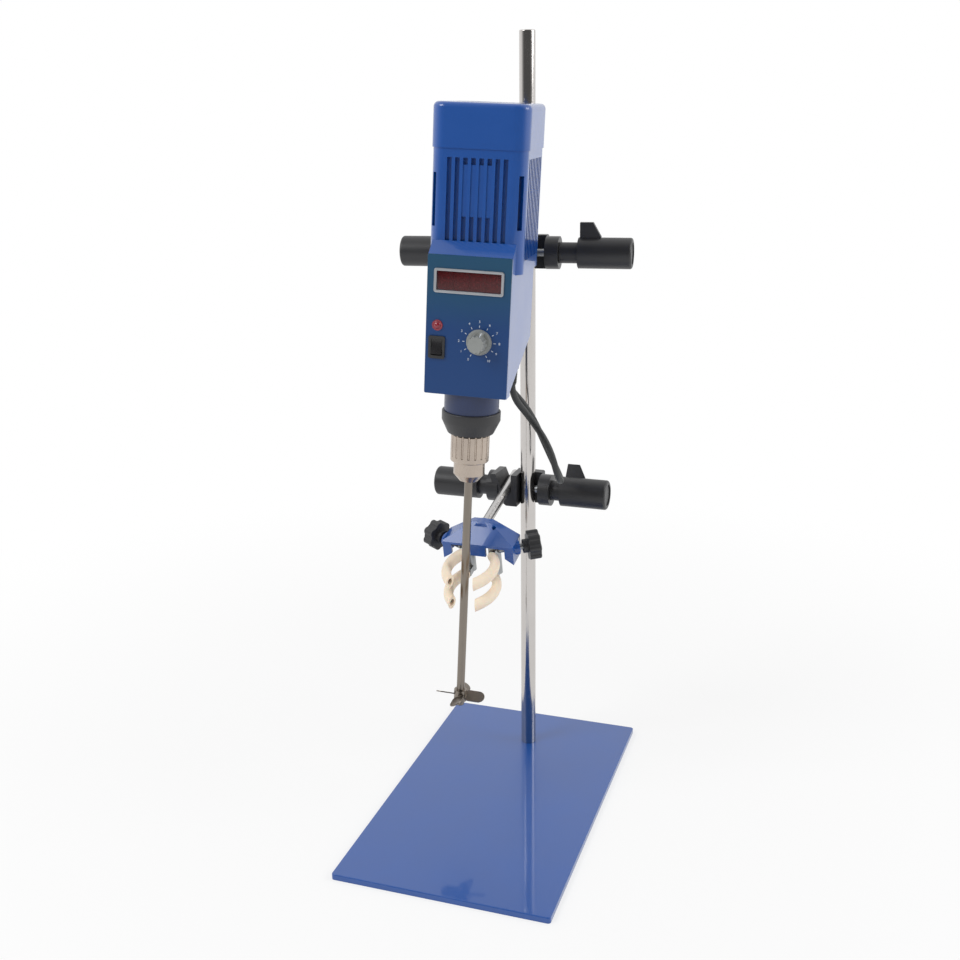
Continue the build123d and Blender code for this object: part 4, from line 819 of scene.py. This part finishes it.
class STIRRER_OT_controls(Operator):
    """Build the speed dial with its scale, the pilot lamp and the mains switch"""

    bl_idname = "stirrer.controls"
    bl_label = "Build Controls"

    def execute(self, context):
        dress("speed_knob", grey_moulding, 0.35)
        dress("speed_control", zinc_steel)
        dress("pilot_lamp", red_lens, 0.2)
        dress("switch_housing", black_moulding, 0.4)
        dress("power_rocker", black_gloss, 0.3)
        # Numerals and ticks of the speed scale
        height = context.scene.stirrer_sizes.numeral_height * 1000
        scale = bmesh.new()
        for number in range(11):
            turn = math.radians(SCALE_START + SCALE_STEP * number)
            spot = Vector((DIAL[0] + NUMERAL_RADIUS * math.sin(turn),
                           DIAL[1] + NUMERAL_RADIUS * math.cos(turn), PRINT_HEIGHT))
            gather(scale, print_text(str(number), height, PANEL @ Matrix.Translation(spot)))
            tick = bmesh.new()
            place = (Matrix.Translation((*DIAL, PRINT_HEIGHT)) @ Matrix.Rotation(-turn, 4, "Z")
                     @ Matrix.Translation((0, TICK_RADIUS, 0)) @ Matrix.Diagonal(TICK))
            bmesh.ops.create_cube(tick, size=1, matrix=PANEL @ place)
            gather(scale, tick)
        bmesh.ops.recalc_face_normals(scale, faces=scale.faces)
        shape_object("speed_scale", scale, [finish(white_print)], "head")
        # A white line on the dial's pointer
        pointer = math.radians(POINTER_TURN)
        line = bmesh.new()
        face = (PANEL @ Matrix.Translation((*DIAL, 0)) @ Matrix.Rotation(-pointer, 4, "Z")
                @ Matrix.Translation(POINTER_PLACE) @ Matrix.Diagonal(POINTER_LINE))
        bmesh.ops.create_cube(line, size=1, matrix=face)
        bmesh.ops.recalc_face_normals(line, faces=line.faces)
        shape_object("dial_line", line, [finish(white_print)], "speed_knob")
        # I and O on the rocker
        rocker = frame_at(JOINTS["switch_rock"]["pos_m"], JOINTS["switch_rock"]["axis"], HEAD_UP)
        tilt = (rocker @ Matrix.Rotation(math.radians(ROCKER_TILT), 4, "X")
                @ Matrix.Rotation(math.radians(90), 4, "X"))
        marks = bmesh.new()
        for text, rise in (("I", MARK_RISE), ("O", -MARK_RISE)):
            lean = math.radians(MARK_LEAN if rise > 0 else -MARK_LEAN)
            spot = tilt @ Matrix.Translation((0, rise, 2.0)) @ Matrix.Rotation(lean, 4, "X")
            gather(marks, print_text(text, MARK_HEIGHT, spot))
        bmesh.ops.recalc_face_normals(marks, faces=marks.faces)
        shape_object("switch_marks", marks, [finish(white_print)], "power_rocker")
        return {"FINISHED"}


class STIRRER_OT_chuck(Operator):
    """Finish the keyless chuck, the stirring shaft and its propeller"""

    bl_idname = "stirrer.chuck"
    bl_label = "Build Chuck and Shaft"

    def execute(self, context):
        dress("chuck_body", chuck_steel, 0.4)
        dress("chuck_sleeve", chuck_steel, 0.3)
        for number in (1, 2, 3):
            dress(f"chuck_jaw_{number}", zinc_steel)
        dress("stir_shaft", stainless_steel, 0.3)
        dress("propeller", stainless_steel, 0.3)
        return {"FINISHED"}


class STIRRER_OT_flask_clamp(Operator):
    """Finish the flask clamp with its jaws, rubber sleeves and star knobs"""

    bl_idname = "stirrer.flask_clamp"
    bl_label = "Build Flask Clamp"

    def execute(self, context):
        dress("flask_head", blue_enamel, 0.9, 3)
        dress("jaw_pins", zinc_steel)
        for side in ("left", "right"):
            dress(side + "_jaw", zinc_steel, 0.3)
            dress(side + "_sleeves", cream_rubber, 0.7)
            dress(side + "_star_screw", zinc_steel)
            dress(side + "_star_knob", black_moulding, 1.1, 3)
        return {"FINISHED"}


def lead_route():
    """The control points of the whole lead in the model's metres."""
    points = [Vector(point) for point in LEAD_LEG]
    for turn, (radius, row) in enumerate(HANK_CELLS):
        points.append(Vector((radius, row, (HANK_TOP + HANK_FOOT) / 2)))
        for corner in range(FOLD_CORNERS):
            angle = math.pi * (corner + 0.5) / FOLD_CORNERS
            reach = radius / math.cos(math.pi / (2 * FOLD_CORNERS))
            points.append(Vector((reach * math.cos(angle), row, HANK_TOP + reach * math.sin(angle))))
        if turn + 1 == len(HANK_CELLS):
            break
        points.append(Vector((-radius, row, (HANK_TOP + HANK_FOOT) / 2)))
        next_radius, next_row = HANK_CELLS[turn + 1]
        for corner in range(FOLD_CORNERS):
            share = (corner + 0.5) / FOLD_CORNERS
            angle = math.pi * (1 + share)
            wide = radius + (next_radius - radius) * share
            reach = wide / math.cos(math.pi / (2 * FOLD_CORNERS))
            depth = row + (next_row - row) * share
            points.append(Vector((reach * math.cos(angle), depth, HANK_FOOT + reach * math.sin(angle))))
    points += [Vector(point) for point in LEAD_TAIL]
    return [HEAD @ (point * 1000) for point in points]


class STIRRER_OT_mains_lead(Operator):
    """Build the mains lead with its strain relief, hank, tie and plug"""

    bl_idname = "stirrer.mains_lead"
    bl_label = "Build Mains Lead"

    def execute(self, context):
        sizes = context.scene.stirrer_sizes
        route = lead_route()
        curve = bpy.data.curves.new("mains_lead_cord", "CURVE")
        curve.dimensions = "3D"
        curve.bevel_depth = sizes.cord_diameter / 2
        curve.bevel_resolution = 5
        curve.resolution_u = 5
        curve.use_fill_caps = True
        spline = curve.splines.new("NURBS")
        spline.points.add(len(route) - 1)
        for control, point in zip(spline.points, route):
            control.co = (*point, 1)
        spline.order_u = 3
        spline.use_endpoint_u = True
        curve.materials.append(finish(cord_rubber))
        cord = bpy.data.objects.new("mains_lead_cord", curve)
        context.scene.collection.objects.link(cord)
        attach(cord, "head")
        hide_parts("mains_lead", "lead_coil")

        plug = dress("mains_plug", cord_rubber, 0.7, 2, zinc_steel,
                     lambda point: in_axes(HEAD, point).z < PLUG_FACE)

        # Ribbed strain relief, narrowing towards the lead
        start = HEAD @ Vector(RELIEF_START)
        axis = (HEAD.to_3x3() @ Vector(RELIEF_AXIS).normalized()).normalized()
        relief = frame_at(start, HEAD_RIGHT, axis)
        profile = list(RELIEF_COLLAR)
        step = RIBS_LENGTH / sizes.gland_ribs
        for rib in range(sizes.gland_ribs):
            low = RIBS_START + rib * step
            wide = RIB_RADIUS - RIB_NARROWING * rib / sizes.gland_ribs
            narrow = wide - RIB_GROOVE
            profile += [(wide, low), (wide, low + 0.55 * step), (narrow, low + 0.62 * step),
                        (narrow, low + 0.95 * step)]
        profile += RELIEF_END
        shape = bmesh.new()
        verts = [shape.verts.new((radius, 0, height)) for radius, height in profile]
        edges = [shape.edges.new(pair) for pair in zip(verts, verts[1:])]
        bmesh.ops.spin(shape, geom=verts + edges, cent=(0, 0, 0), axis=(0, 0, 1), angle=2 * math.pi,
                       steps=40, use_merge=True)
        bmesh.ops.remove_doubles(shape, verts=shape.verts, dist=0.0001)
        bmesh.ops.transform(shape, matrix=relief, verts=shape.verts)
        bmesh.ops.recalc_face_normals(shape, faces=shape.faces)
        gland = shape_object("strain_relief", shape, [finish(cord_rubber)], "head", 50)
        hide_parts("cord_gland")

        # Tie round the right-hand runs of the hank
        shape = bmesh.new()
        made = bmesh.ops.create_grid(shape, x_segments=1, y_segments=1, size=0.5, matrix=(
            Matrix.Translation(TIE_PLACE) @ Matrix.Diagonal(TIE_OUTLINE)))
        bmesh.ops.bevel(shape, geom=made["verts"], offset=TIE_CORNER, segments=6, profile=0.5,
                        affect="VERTICES", material=-1)
        rim = [edge for edge in shape.edges if edge.is_boundary]
        bmesh.ops.delete(shape, geom=list(shape.faces), context="FACES_ONLY")
        grown = bmesh.ops.extrude_edge_only(shape, edges=rim)
        raised = [item for item in grown["geom"] if isinstance(item, bmesh.types.BMVert)]
        bmesh.ops.translate(shape, vec=(0, 0, TIE_WIDTH), verts=raised)
        bmesh.ops.recalc_face_normals(shape, faces=shape.faces)
        bmesh.ops.solidify(shape, geom=list(shape.faces), thickness=TIE_THICKNESS)
        bmesh.ops.transform(shape, matrix=HEAD, verts=shape.verts)
        tie = shape_object("hank_tie", shape, [finish(black_moulding)], "head")

        return {"FINISHED"}


class STIRRER_PT_sidebar(Panel):
    """The stirrer's colours, sizes and builders"""

    bl_idname = "STIRRER_PT_sidebar"
    bl_label = "Overhead Stirrer"
    bl_space_type = "VIEW_3D"
    bl_region_type = "UI"
    bl_category = "Stirrer"

    def draw(self, context):
        for group in ("stirrer_colours", "stirrer_sizes", "stirrer_studio"):
            box = self.layout.box()
            settings = getattr(context.scene, group)
            for name in settings.__annotations__:
                box.prop(settings, name)
        for operator in OPERATORS:
            self.layout.operator(operator.bl_idname)


GROUPS = {
    "stirrer_colours": StirrerColours,
    "stirrer_sizes": StirrerSizes,
    "stirrer_studio": StirrerStudio,
}
OPERATORS = (
    STIRRER_OT_studio,
    STIRRER_OT_mains_lead,
    STIRRER_OT_stand,
    STIRRER_OT_boss_heads,
    STIRRER_OT_motor,
    STIRRER_OT_control_box,
    STIRRER_OT_display,
    STIRRER_OT_controls,
    STIRRER_OT_chuck,
    STIRRER_OT_flask_clamp,
)


def register():
    """Register the settings, the operators and the panel."""
    for name, group in GROUPS.items():
        bpy.utils.register_class(group)
        setattr(bpy.types.Scene, name, PointerProperty(type=group))
    for operator in OPERATORS:
        bpy.utils.register_class(operator)
    bpy.utils.register_class(STIRRER_PT_sidebar)


def unregister():
    """Remove what register added."""
    bpy.utils.unregister_class(STIRRER_PT_sidebar)
    for operator in reversed(OPERATORS):
        bpy.utils.unregister_class(operator)
    for name, group in GROUPS.items():
        delattr(bpy.types.Scene, name)
        bpy.utils.unregister_class(group)


def main():
    """Build everything in order."""
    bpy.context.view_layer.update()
    register()
    for operator in OPERATORS:
        group, name = operator.bl_idname.split(".")
        getattr(getattr(bpy.ops, group), name)()


if __name__ == "__main__":
    main()
